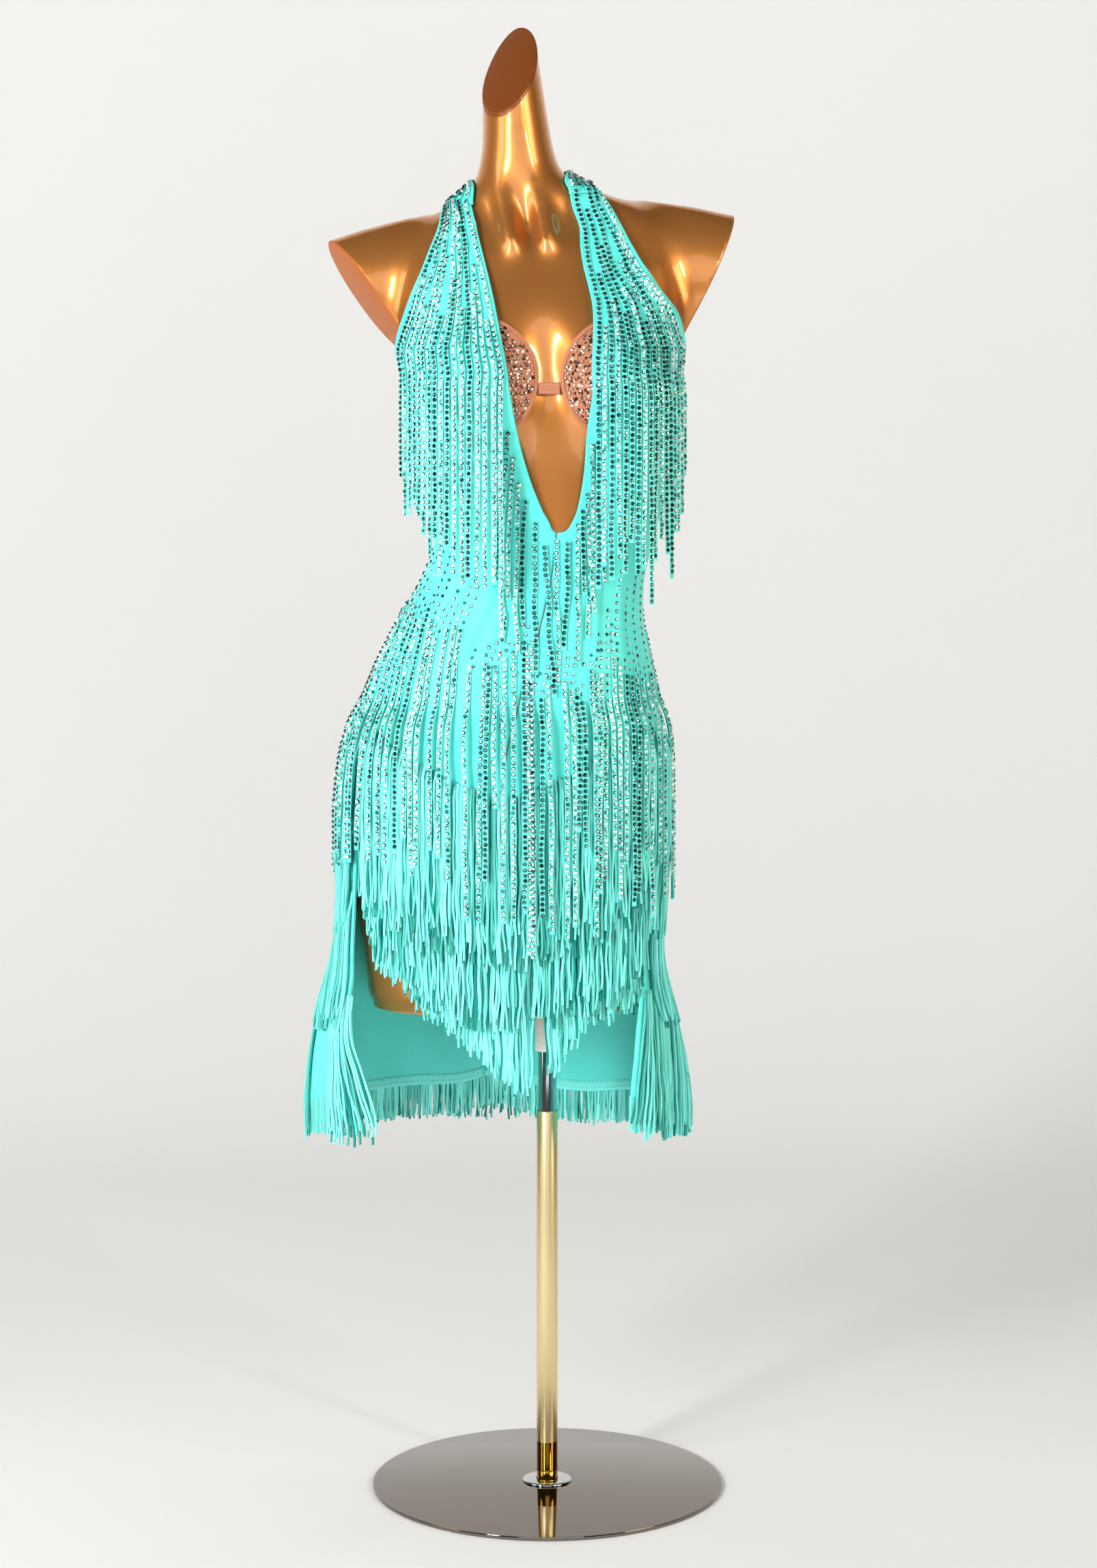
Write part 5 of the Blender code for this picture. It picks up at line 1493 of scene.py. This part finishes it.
def straight_ribbons(table, out, layer):
    """Lines of placed ribbons on the cloth, every other one lying a layer further out."""
    x, z, end_x, end_z = np.array(table).T
    z = np.linspace(z, end_z, RIBBON_POINTS, axis=1)
    x = np.linspace(x, end_x, RIBBON_POINTS, axis=1)
    stand_off = out + layer * (np.arange(len(table))[:, None] % 2) + 0 * z
    return lifted(cloth_surface, z, turn_at(cloth_surface, z, x), stand_off)


def rank_of(number, count):
    """The order in which ribbons join the fan, spread evenly: bits of the number read backwards."""
    bits = math.ceil(math.log2(count))
    order = sorted(range(count), key=lambda k: int(format(k, f"0{bits}b")[::-1], 2))
    return order.index(number)


def make_chest_ribbons(tape, glass, rng):
    for name, side, top, ends, near_v in (
        ("left", -1, STRAP_TOP_LEFT, CHEST_LEFT_ENDS, V_LEFT_RIBBONS),
        ("right", 1, STRAP_TOP_RIGHT, CHEST_RIGHT_ENDS, V_RIGHT_RIBBONS),
    ):
        first = top + 0.003
        heights = np.linspace(first, CHEST_HANG_FROM, 60)
        inner, outer = strap_limits(heights, side)
        steps = np.linspace(0, 1, 12)[:, None]
        across = cloth_surface(np.repeat(heights[None], 12, 0), outer + (inner - outer) * steps)
        width = np.linalg.norm(np.diff(across, axis=0), axis=2).sum(axis=0) - 2 * TURNED_EDGE
        room = width / CHEST_RIBBON_SPACING
        lines = []
        for k in range(CHEST_RIBBONS):
            start = heights[np.argmax(room >= min(rank_of(k, CHEST_RIBBONS) + 1, room.max() - 0.5))]
            z = np.linspace(min(start, first), CHEST_HANG_FROM, 14)
            edge = TURNED_EDGE / (np.interp(-z, -heights, width) + 2 * TURNED_EDGE)
            share = (k + 0.5) / CHEST_RIBBONS
            place = edge + (1 - 2 * edge) * share
            inner, outer = strap_limits(z, side)
            turn = outer + (inner - outer) * place
            x_out = cloth_surface(z, outer + (inner - outer) * 0.06)[:, 0]
            x_in = cloth_surface(z, inner)[:, 0]
            straight = turn_at(cloth_surface, z, x_out + (x_in - x_out) * place)
            turn = turn + (straight - turn) * CHEST_EVEN_ACROSS * smooth((top - z) / 0.12)
            lines.append(lifted(cloth_surface, z, turn, TRIM_MIDDLE - 0.0006 + 0.0012 * (k % 2)))
        lines = np.stack(lines)
        from_outside = np.argsort(np.argsort(-side * lines[:, -1, 0]))
        end_z = np.array(ends)[from_outside] + rng.uniform(-0.003, 0.003, CHEST_RIBBONS)
        hung = hang(lines[:, -1], end_z, cloth_surface, lambda z: TRIM_MIDDLE + 0.0010, 24)
        lines = even(np.concatenate([lines[:, :-1], hung], axis=1), RIBBON_POINTS)
        lines = np.concatenate([lines, straight_ribbons(near_v, TRIM_MIDDLE + 0.0002, 0.0010)])
        lines, facing = loosened(lines, rng, 0.0011, 8, 1.08)
        stands_for = (f"strips_strap_{name}", f"strips_chest_{name}")
        stoned_ribbons(f"ribbons_chest_{name}", lines, facing, tape, glass, rng, stands_for)


def make_neck_ribbons(tape, glass, rng):
    """Four ribbons that run on from the straps and round the neck band."""
    share, place = crossed(np.array([0.15, 0.38, 0.62, 0.85]), np.linspace(0.02, 0.98, 70))
    z, turn = on_neck_band(place, share)
    lines = lifted(cloth_surface, z, turn, TRIM_MIDDLE - 0.0004)
    stoned_ribbons("ribbons_neck", lines, normals_of(cloth_surface, z, turn), tape, glass, rng)


def make_centre_ribbons(tape, glass, rng):
    lines = straight_ribbons(CENTRE_RIBBONS, TRIM_MIDDLE, 0.0011)
    lines, facing = loosened(lines, rng, 0.0001, 3, 0.95)
    stoned_ribbons("ribbons_centre", lines, facing, tape, glass, rng, ("strips_centre",), CENTRE_PAINTED_LIGHT)


# Where the hip ribbons end, across the front, in order
Spot = namedtuple("Spot", "x z")
HIP_FRONT_ENDS = (
    Spot(-0.1079, 0.6150), Spot(-0.0952, 0.6112), Spot(-0.0895, 0.653), Spot(-0.0809, 0.7257),
    Spot(-0.0749, 0.6104), Spot(-0.0685, 0.6133), Spot(-0.0587, 0.6204), Spot(-0.0531, 0.5785),
    Spot(-0.0508, 0.7236), Spot(-0.0404, 0.6026), Spot(-0.0320, 0.575), Spot(-0.0221, 0.6161),
    Spot(-0.0186, 0.5991), Spot(0.0032, 0.5941), Spot(0.0109, 0.6055), Spot(0.0180, 0.7010),
    Spot(0.0256, 0.6841), Spot(0.0348, 0.5941), Spot(0.0420, 0.6380), Spot(0.0474, 0.6508),
    Spot(0.0565, 0.6805), Spot(0.0640, 0.6289), Spot(0.0719, 0.6657), Spot(0.0790, 0.6225),
    Spot(0.0856, 0.6350), Spot(0.0920, 0.6721), Spot(0.0980, 0.6080), Spot(0.1045, 0.6610),
    Spot(0.1100, 0.6260), Spot(0.1155, 0.6450),
)  # fmt: skip
# Round the left hip they hang closer still
LEFT_HIP_TURNS = (-178.0, -120.0)
LEFT_HIP_RIBBONS = 17
# Where they start, across the front
HIP_FRONT_ROOTS = (
    Spot(-0.1500, 0.915), Spot(-0.1300, 0.910), Spot(-0.1167, 0.9016), Spot(-0.0978, 0.912),
    Spot(-0.0930, 0.8953), Spot(-0.0763, 0.880), Spot(-0.0708, 0.8506), Spot(-0.0463, 0.8807),
    Spot(-0.0226, 0.8932), Spot(-0.0157, 0.8583), Spot(-0.0059, 0.8324), Spot(0.0241, 0.8506),
    Spot(0.0290, 0.8366), Spot(0.0506, 0.8611), Spot(0.0569, 0.8345), Spot(0.0631, 0.8821),
    Spot(0.0743, 0.8639), Spot(0.0819, 0.8653), Spot(0.0959, 0.8464), Spot(0.1020, 0.870),
)  # fmt: skip
HIP_BACK_RIBBONS = 28


def over_locks(z):
    """How far out the hip ribbons lie: on the cloth at first, then over the fringe below."""
    return TRIM_MIDDLE + (OVER_LOCK + 0.001 - TRIM_MIDDLE) * smooth((0.835 - z) / 0.035)


def make_hip_ribbons(tape, glass, rng):
    ends_x, ends_z = np.array(HIP_FRONT_ENDS).T
    end_turn = np.clip(turn_at(cloth_surface, 0.72, ends_x), -176, -2)
    left_turn = np.linspace(*LEFT_HIP_TURNS, LEFT_HIP_RIBBONS) + rng.normal(0, 0.35, LEFT_HIP_RIBBONS)
    left_end = np.linspace(0.680, 0.655, LEFT_HIP_RIBBONS) + rng.uniform(-0.030, 0.035, LEFT_HIP_RIBBONS)
    front_turn = np.concatenate([left_turn, end_turn])
    root_x = cloth_surface(0.870, front_turn)[:, 0]
    front_root_z = np.interp(root_x, *np.array(HIP_FRONT_ROOTS).T)
    front_root_z = front_root_z + rng.uniform(-0.012, 0.012, len(front_turn))
    back_turn = np.linspace(7, 173, HIP_BACK_RIBBONS) + rng.normal(0, 1.0, HIP_BACK_RIBBONS)
    back_root_z = 0.850 + 0.055 * np.abs(np.cos(np.radians(back_turn))) ** 1.4
    back_root_z = back_root_z + rng.uniform(-0.014, 0.018, HIP_BACK_RIBBONS)
    back_end = 0.645 + rng.uniform(-0.040, 0.035, HIP_BACK_RIBBONS)
    for name, turn, root_z, end in (
        ("front", front_turn, front_root_z, np.concatenate([left_end, ends_z])),
        ("back", back_turn, back_root_z, back_end),
    ):
        roots = lifted(cloth_surface, root_z, turn, TRIM_MIDDLE)
        lines = even(hang(roots, end, cloth_surface, over_locks, 26), RIBBON_POINTS)
        lines, facing = loosened(lines, rng, 0.0013, 10, 0.80)
        stoned_ribbons(f"ribbons_hip_{name}", lines, facing, tape, glass, rng, (f"strips_hip_{name}",))
    return np.concatenate([front_turn, back_turn]), np.concatenate([front_root_z, back_root_z])


# Lines of glued stones carry the hip ribbons on up to the waist, full length at the sides
GLUED_PITCH = 0.0080
GLUED_TOP = 0.984
GLUED_SHORTEST = 0.010
SCATTERED = 26


def make_glued_stones(turns, roots, glass, rng):
    points, normals = [], []

    def glue(z, turn):
        points.append(lifted(cloth_surface, z, turn, CLOTH_OUT - 0.0002))
        normals.append(normals_of(cloth_surface, z, turn))

    for number, (turn, root) in enumerate(zip(turns, roots)):
        toward_side = smooth((abs(math.cos(math.radians(turn))) - 0.40) / 0.35)
        full = GLUED_TOP - rng.uniform(0, 0.022) - root
        # Every other line runs the whole way, as they draw together towards the waist
        carried_on = (full - 0.030) * toward_side * (number % 2)
        length = GLUED_SHORTEST + rng.uniform(0, 0.030) + carried_on
        z = np.arange(root + GLUED_PITCH * 0.7, root + length, GLUED_PITCH)
        drift = rng.uniform(-0.4, 0.4) * (z - root) / 0.08
        glue(z + rng.normal(0, 0.0003, z.shape), turn + drift + rng.normal(0, 0.05, z.shape))
    glue(rng.uniform(0.800, 0.880, SCATTERED), rng.uniform(-130, -45, SCATTERED))
    points, normals = np.concatenate(points), np.concatenate(normals)
    radius = GLUED_RADIUS * rng.uniform(0.85, 1.05, (len(points), 1))
    set_stones("glued_stones", points, normals, radius, glass, rng)


# ---------------------------------------------------------------- fringe

CORD_POINTS = 15
CORD_PITCH = 0.0026
CORD_WAVE = 0.0010
CORD_WAVE_RUN = 0.0085
# Each row of cords is sewn in layers this far apart, the lowest of which is painted darker, as painted shade
LAYER_GAP = 0.0016


def kinked(lines, facing, rng):
    """Gives hanging cords their small waves, which grow towards the ends."""
    across, out, _ = frames_along(lines, facing)
    count, points = lines.shape[:2]
    each = (count, 1)
    share = np.linspace(0, 1, points)[None]
    run = (lines[:, :1, 2] - lines[..., 2]) / CORD_WAVE_RUN
    grow = CORD_WAVE * (0.25 + share**1.5)
    wave = np.sin(run + rng.uniform(0, 6.3, each)) * rng.uniform(0.5, 1.2, each)
    slow = np.sin(run * 0.37 + rng.uniform(0, 6.3, each))
    side = (grow * (wave + slow * 0.9))[..., None]
    forth = (grow * 0.5 * np.abs(np.cos(run * 0.8 + rng.uniform(0, 6.3, each))))[..., None]
    held = smooth(share * 6)[..., None]
    return lines + (across * side + out * forth) * held


def cords(name, lines, yarn, rng, under=False):
    """Hanging cords. The ones that lie under others are painted darker, as painted shade."""
    facing = facing_of(lines)
    under = np.broadcast_to(under, (len(lines),))[:, None]
    # Each cord's tone differs at random, and the cords of the lowest layer are painted darker, as painted
    # shade
    tones = np.clip(rng.normal(0.62, 0.29, (len(lines), 1)) - 0.55 * under, 0, 1)
    mesh = strands(name, kinked(lines, facing, rng), facing, CORD_RADIUS, CORD_RADIUS * 0.85, tones)
    add_piece(name, mesh, yarn, crease_deg=70.0)


def stations_over(low, high, surface, z_of, pitch):
    """Turns spaced at an even pitch along a root line."""
    turn = np.linspace(low, high, 400)
    run = run_along(surface(z_of(turn), turn))
    return np.interp(np.arange(0, run[-1], pitch), run, turn)


# How low the front fringe hangs, from side to side
LOW_ENDS = (
    Spot(-0.200, 0.640), Spot(-0.186, 0.622), Spot(-0.179, 0.590), Spot(-0.171, 0.562),
    Spot(-0.149, 0.549), Spot(-0.135, 0.532), Spot(-0.122, 0.515), Spot(-0.098, 0.500),
    Spot(-0.085, 0.486), Spot(-0.062, 0.466), Spot(-0.045, 0.450), Spot(-0.030, 0.438),
    Spot(-0.020, 0.441), Spot(-0.010, 0.458), Spot(0.012, 0.464), Spot(0.030, 0.494),
    Spot(0.050, 0.508), Spot(0.078, 0.518), Spot(0.100, 0.527), Spot(0.130, 0.536),
)  # fmt: skip
# Few cords hang just left of the pole, so the collar shows between them
GAP_FROM, GAP_TO = -0.0165, -0.0005
GAP_TOP = 0.513
GAP_EMPTY = 0.93

FrontTier = namedtuple("FrontTier", "name side_z centre_z out layers")
FRONT_TIERS = (
    FrontTier("upper", *UPPER_ROW, LOCK_IN + 0.0040, (0.0, LAYER_GAP)),
    FrontTier("middle", 0.715, 0.655, LOCK_IN + 0.0022, (0.0, LAYER_GAP)),
    FrontTier("hem", 0.642, 0.577, LOCK_IN + 0.0004, (0.0, 0.0014, 0.0026)),
)


def front_ends(tier, x, aside, rng):
    """Where a front tier's cords end, by their x and how far aside they are, from 0 to 1."""
    lowest = between(LOW_ENDS, "x", x, "z")
    in_gap = (x > GAP_FROM) & (x < GAP_TO)
    if tier.name == "upper":
        return 0.582 + 0.048 * aside + rng.uniform(-0.024, 0.018, x.shape)
    if tier.name == "middle":
        end = np.maximum(0.508 + 0.042 * aside, lowest + 0.018) + rng.uniform(-0.014, 0.016, x.shape)
        return np.where(in_gap, np.maximum(end, GAP_TOP), end)
    end = lowest + rng.normal(0, 0.0060, x.shape)
    return np.where(in_gap & (rng.uniform(0, 1, x.shape) < GAP_EMPTY), GAP_TOP, end)


def lying_out(root_z, out, height):
    """How far off the body cords lie: close at their roots, then out on what is under them."""
    return out - (out - CLOTH_OUT - 0.0012) * smooth((height - root_z + 0.015) / 0.015)


def make_front_fringe(yarn, rng):
    half = APRON_HALF_DEG - 1.5
    for tier in FRONT_TIERS:
        root_z = functools.partial(front_root, side_z=tier.side_z, centre_z=tier.centre_z)
        lines, under = [], []
        for layer in tier.layers:
            turn = stations_over(FRONT - half, FRONT + half, cloth_surface, root_z, CORD_PITCH)
            turn = turn + rng.normal(0, 0.25, turn.shape)
            z = root_z(turn) + rng.normal(0, 0.0022, turn.shape) + layer * 1.5
            roots = lifted(cloth_surface, z, turn, CLOTH_OUT + 0.0010 + layer * 0.5)
            aside = (np.abs(turn - FRONT) / half) ** 1.5
            end = front_ends(tier, roots[:, 0], aside, rng)
            settle = functools.partial(lying_out, z, tier.out + layer)
            lines.append(hang(roots, end, cloth_surface, settle, CORD_POINTS - 1))
            under.append(np.full(len(turn), layer == 0))
        cords(f"fringe_front_{tier.name}", np.concatenate(lines), yarn, rng, np.concatenate(under))


BackTier = namedtuple("BackTier", "name root end fall out")
BACK_TIERS = (
    BackTier("upper", 0.792, 0.668, 0.0, 0.0046),
    BackTier("second", 0.700, 0.590, 0.3, 0.0034),
    BackTier("middle", 0.622, 0.494, 0.7, 0.0022),
    BackTier("hem", 0.512, 0.382, 1.0, 0.0004),
)
# The turns between which the left side is left bare below the middle tier
BARE_FROM = 168.0
BARE_TO = 192.0
# How far the hem row's cords hang past the skirt's left edge
HEM_FAN_DEG = 10.0
# How far inside the skirt's front edges the first and last cords are sewn
EDGE_MARGIN_DEG = 1.0


def tier_root(tier, turn):
    return tier.root + hem_shift(turn) * tier.fall


def make_back_fringe(yarn, rng):
    for tier in BACK_TIERS:
        is_hem = tier.name == "hem"
        root_z = functools.partial(tier_root, tier)
        start, end = skirt_edge(tier.root, 1) + EDGE_MARGIN_DEG, skirt_edge(tier.root, -1) - EDGE_MARGIN_DEG
        lines, under = [], []
        for layer in (0.0, LAYER_GAP):
            turn = stations_over(start, end, skirt_surface, root_z, CORD_PITCH * 1.05)
            turn = turn + rng.normal(0, 0.25, turn.shape)
            if is_hem:
                turn = turn[(turn < BARE_FROM) | (turn > BARE_TO)]
            share = (turn - start) / (end - start)
            top = root_z(turn) + rng.normal(0, 0.0012, turn.shape) + layer * 1.5
            bottom = tier.end + hem_shift(turn) * tier.fall + rng.uniform(-0.011, 0.009, turn.shape)
            step = np.linspace(0, 1, CORD_POINTS)[None]
            z = top[:, None] + (bottom - top)[:, None] * step
            # Only the hem's row follows the skirt's right edge forwards, and it hangs past the left one
            low_start = skirt_edge(z, 1) + EDGE_MARGIN_DEG if is_hem else start
            fan = HEM_FAN_DEG * smooth((0.600 - z) / 0.150) * is_hem
            low_end = skirt_edge(z, -1) - EDGE_MARGIN_DEG + fan
            turns = low_start + (low_end - low_start) * share[:, None]
            out = CLOTH_OUT + 0.0012 + (tier.out + layer) * smooth(step * 5)
            lines.append(lifted(skirt_surface, z, turns, out))
            under.append(np.full(len(turn), layer == 0))
        cords(f"fringe_back_{tier.name}", np.concatenate(lines), yarn, rng, np.concatenate(under))


HEM_CORD_POINTS = 8
HEM_CORD_LENGTH = 0.036


def make_hem_fringe(yarn, rng):
    """A short fringe along the back skirt's hem."""
    start, end = skirt_edge(HEM_SIDE, 1) + 0.3, skirt_edge(HEM_SIDE, -1) - 0.3
    turn = stations_over(start, end, skirt_surface, skirt_hem, CORD_PITCH * 0.85)
    length = HEM_CORD_LENGTH + rng.normal(0, 0.0015, turn.shape)
    roots = lifted(skirt_surface, skirt_hem(turn), turn, (CLOTH_IN + CLOTH_OUT) / 2)
    points = np.repeat(roots[:, None], HEM_CORD_POINTS, 1)
    top = skirt_hem(turn) + 0.003
    points[..., 2] = top[:, None] - length[:, None] * np.linspace(0, 1, HEM_CORD_POINTS)
    cords("fringe_hem", points, yarn, rng)


# ---------------------------------------------------------------- floor, lights and camera

# The floor's front edge, the wall behind, the bend between them, and how wide and high they are
FLOOR_FRONT = -4.5
WALL_BACK = 2.6
WALL_BEND = 1.2
WALL_HALF_WIDTH = 6.0
WALL_TOP = 4.5


def make_backdrop(paint):
    """A pale floor that curves up into a wall behind."""
    profile = [(FLOOR_FRONT, 0.0), (WALL_BACK - WALL_BEND, 0.0)]
    for angle in np.linspace(0, math.pi / 2, 14)[1:]:
        y = WALL_BACK - WALL_BEND + WALL_BEND * math.sin(angle)
        profile.append((y, WALL_BEND - WALL_BEND * math.cos(angle)))
    profile.append((WALL_BACK, WALL_TOP))
    sides = (-WALL_HALF_WIDTH, WALL_HALF_WIDTH)
    bm = grid_mesh(np.array([[(x, y, z - 0.0002) for y, z in profile] for x in sides]))
    bm.normal_update()
    bm.faces.ensure_lookup_table()
    # The painted side faces the room
    if bm.faces[0].normal.z < 0:
        bmesh.ops.reverse_faces(bm, faces=bm.faces)
    staged("backdrop", bm, paint)


def make_room(paper):
    """A pale drum far round the floor, which other views see past the wall. It gives the dress no light."""
    bm = bmesh.new()
    bmesh.ops.create_cone(bm, cap_ends=True, segments=48, radius1=11.0, radius2=11.0, depth=16.0)
    room = staged("room", bm, paper)
    room.visible_diffuse = False
    room.visible_glossy = False
    room.visible_transmission = False
    room.visible_shadow = False


def staged(name, bm, finish):
    """An object that isn't part of the dress or its stand."""
    mesh = bpy.data.meshes.new(name)
    bm.to_mesh(mesh)
    bm.free()
    mesh.shade_smooth()
    mesh.materials.append(finish)
    made = bpy.data.objects.new(name, mesh)
    bpy.context.collection.objects.link(made)
    return made


# A lamp that isn't mirrored lights the cloth but leaves the lacquer and the plating dark between highlights
SoftBox = namedtuple("SoftBox", "name place aim size_x size_y power tint mirrored")
SOFT_BOXES = (
    SoftBox("key_panel", (-2.1, -2.4, 1.7), (0.0, 0.0, 1.0), 1.2, 1.8, 112.0, "#FFFFFF", False),
    SoftBox("low_fill", (0.4, -3.0, 0.5), (0.0, 0.0, 0.6), 1.2, 0.8, 26.0, "#FFFFFF", False),
    SoftBox("left_panel", (-2.4, -1.0, 1.5), (0.0, 0.0, 1.1), 1.0, 1.9, 19.0, "#FFF0D8", True),
    SoftBox("right_panel", (2.3, -1.3, 1.5), (0.0, 0.0, 1.1), 1.0, 1.9, 32.0, "#FFE8C4", True),
    SoftBox("left_strip", (-1.75, -2.55, 1.6), (0.0, 0.0, 1.3), 0.42, 1.2, 48.0, "#FFFFFF", True),
    SoftBox("right_strip", (1.9, -2.3, 2.1), (0.0, 0.0, 1.2), 0.2, 0.9, 22.0, "#FFFFFF", True),
    SoftBox("front_wall", (0.3, -6.5, 2.4), (0.0, 0.0, 0.9), 5.0, 3.6, 66.0, "#FFFFFF", True),
    SoftBox("back_panel_left", (-2.6, 1.9, 1.7), (0.0, 0.0, 1.0), 1.0, 1.6, 22.0, "#FFFFFF", False),
    SoftBox("back_panel_right", (2.6, 1.9, 1.7), (0.0, 0.0, 1.0), 1.0, 1.6, 22.0, "#FFFFFF", False),
    SoftBox("wall_wash", (0.0, 0.9, 3.4), (0.0, 2.6, 1.0), 4.5, 0.7, 37.0, "#FFFFFF", False),
)
ROOM_COLOUR = "#D8DAD8"
ROOM_STRENGTH = 0.07


def make_lights():
    for box in SOFT_BOXES:
        light = bpy.data.lights.new(box.name, "AREA")
        light.shape = "RECTANGLE"
        light.size, light.size_y = box.size_x, box.size_y
        light.energy = box.power
        light.color = colour(box.tint)[:3]
        lamp = bpy.data.objects.new(box.name, light)
        lamp.location = box.place
        lamp.visible_glossy = box.mirrored
        lamp.visible_camera = False
        lamp.rotation_euler = (Vector(box.aim) - Vector(box.place)).to_track_quat("-Z", "Y").to_euler()
        bpy.context.collection.objects.link(lamp)
    room = bpy.data.worlds.new("room")
    room.use_nodes = True
    sky = room.node_tree.nodes["Background"]
    wire(room.node_tree, sky, {"Color": colour(ROOM_COLOUR), "Strength": ROOM_STRENGTH})
    bpy.context.scene.world = room


# The lens's focal length and the picture's height, both in pixels, and the sensor's height in millimetres
FOCAL_LENGTH_PX = 4857
PICTURE_HEIGHT_PX = 2296
SENSOR_MM = 36
CAMERA_PLACE = (0.0014, -3.381, 1.099)
CAMERA_DOWN_DEG = 6.1


def make_camera():
    lens = bpy.data.cameras.new("camera")
    lens.lens = FOCAL_LENGTH_PX / PICTURE_HEIGHT_PX * SENSOR_MM
    camera = bpy.data.objects.new("camera", lens)
    camera.location = CAMERA_PLACE
    camera.rotation_euler = (math.radians(90 - CAMERA_DOWN_DEG), 0, 0)
    bpy.context.collection.objects.link(camera)
    bpy.context.scene.camera = camera


SEED = 7


def main():
    # The plain display transform keeps the turquoise as strong as it is
    bpy.context.scene.view_settings.view_transform = "Standard"
    rng = np.random.default_rng(SEED)
    make_camera()
    make_lights()
    make_backdrop(painted_wall("matt_paint", "#C9CACA"))
    make_room(pale_glow("lit_paper", "#C4C5C5"))

    lycra = stretch_lycra("stretch_lycra", "#4CC4BC", "#5EDAD2", 0.40)
    # The turned-in cloth is the same lycra painted lighter, as painted light standing in for light on its
    # shaded inside
    painted_light_lining = stretch_lycra("turned_in_lycra", "#72DCD6", "#7AE4DE", 0.5)
    thread = sewing_thread("turquoise_thread", "#2AA096", "#48C6BC")
    yarn = chainette_cord("viscose_chainette", "#0E7A70", "#7CE8DF")
    tape = satin_ribbon("satin_ribbon", "#40C4BA", "#6CDCD4")
    # The stones' facet colours are painted reflections: painted highlights and painted shade
    glass = foiled_glass("foiled_glass", "#031614", "#33807A", "#FFFFFF")
    champagne = foiled_glass("champagne_glass", "#100906", "#7C5A44", "#FFF8F0")
    nude = stretch_lycra("nude_stretch_cloth", "#925C44", "#AC7052", 0.6)
    nude_thread = sewing_thread("nude_thread", "#9A6A52", "#CFA283")
    lacquer = metallic_lacquer("gold_flake_lacquer", "#A65A26", "#E2984F")
    cap_finish = bare_cut("thin_lacquer", "#743A12", "#824416")
    chrome = plated_steel("chrome_plate", "#B9BCC0", "#E6E8EA", 0.10)
    gold_tube = two_finish_tube("gold_tube_lacquer", "#C8983E", "#F2DEAA")
    mirror = plated_steel("mirror_steel", "#7E746E", "#928A83", 0.045)
    plastic = milky_plastic("white_polypropylene", "#E4E4E0", "#FAFAF8")

    make_stand(mirror, gold_tube, chrome, plastic)
    make_form(lacquer, cap_finish)
    make_bra(nude, champagne, nude_thread, rng)
    make_bodice(lycra, thread)
    make_skirts(lycra, painted_light_lining, thread)
    make_chest_ribbons(tape, glass, rng)
    make_neck_ribbons(tape, glass, rng)
    make_centre_ribbons(tape, glass, rng)
    turns, roots = make_hip_ribbons(tape, glass, rng)
    make_glued_stones(turns, roots, glass, rng)
    make_front_fringe(yarn, rng)
    make_back_fringe(yarn, rng)
    make_hem_fringe(yarn, rng)


main()
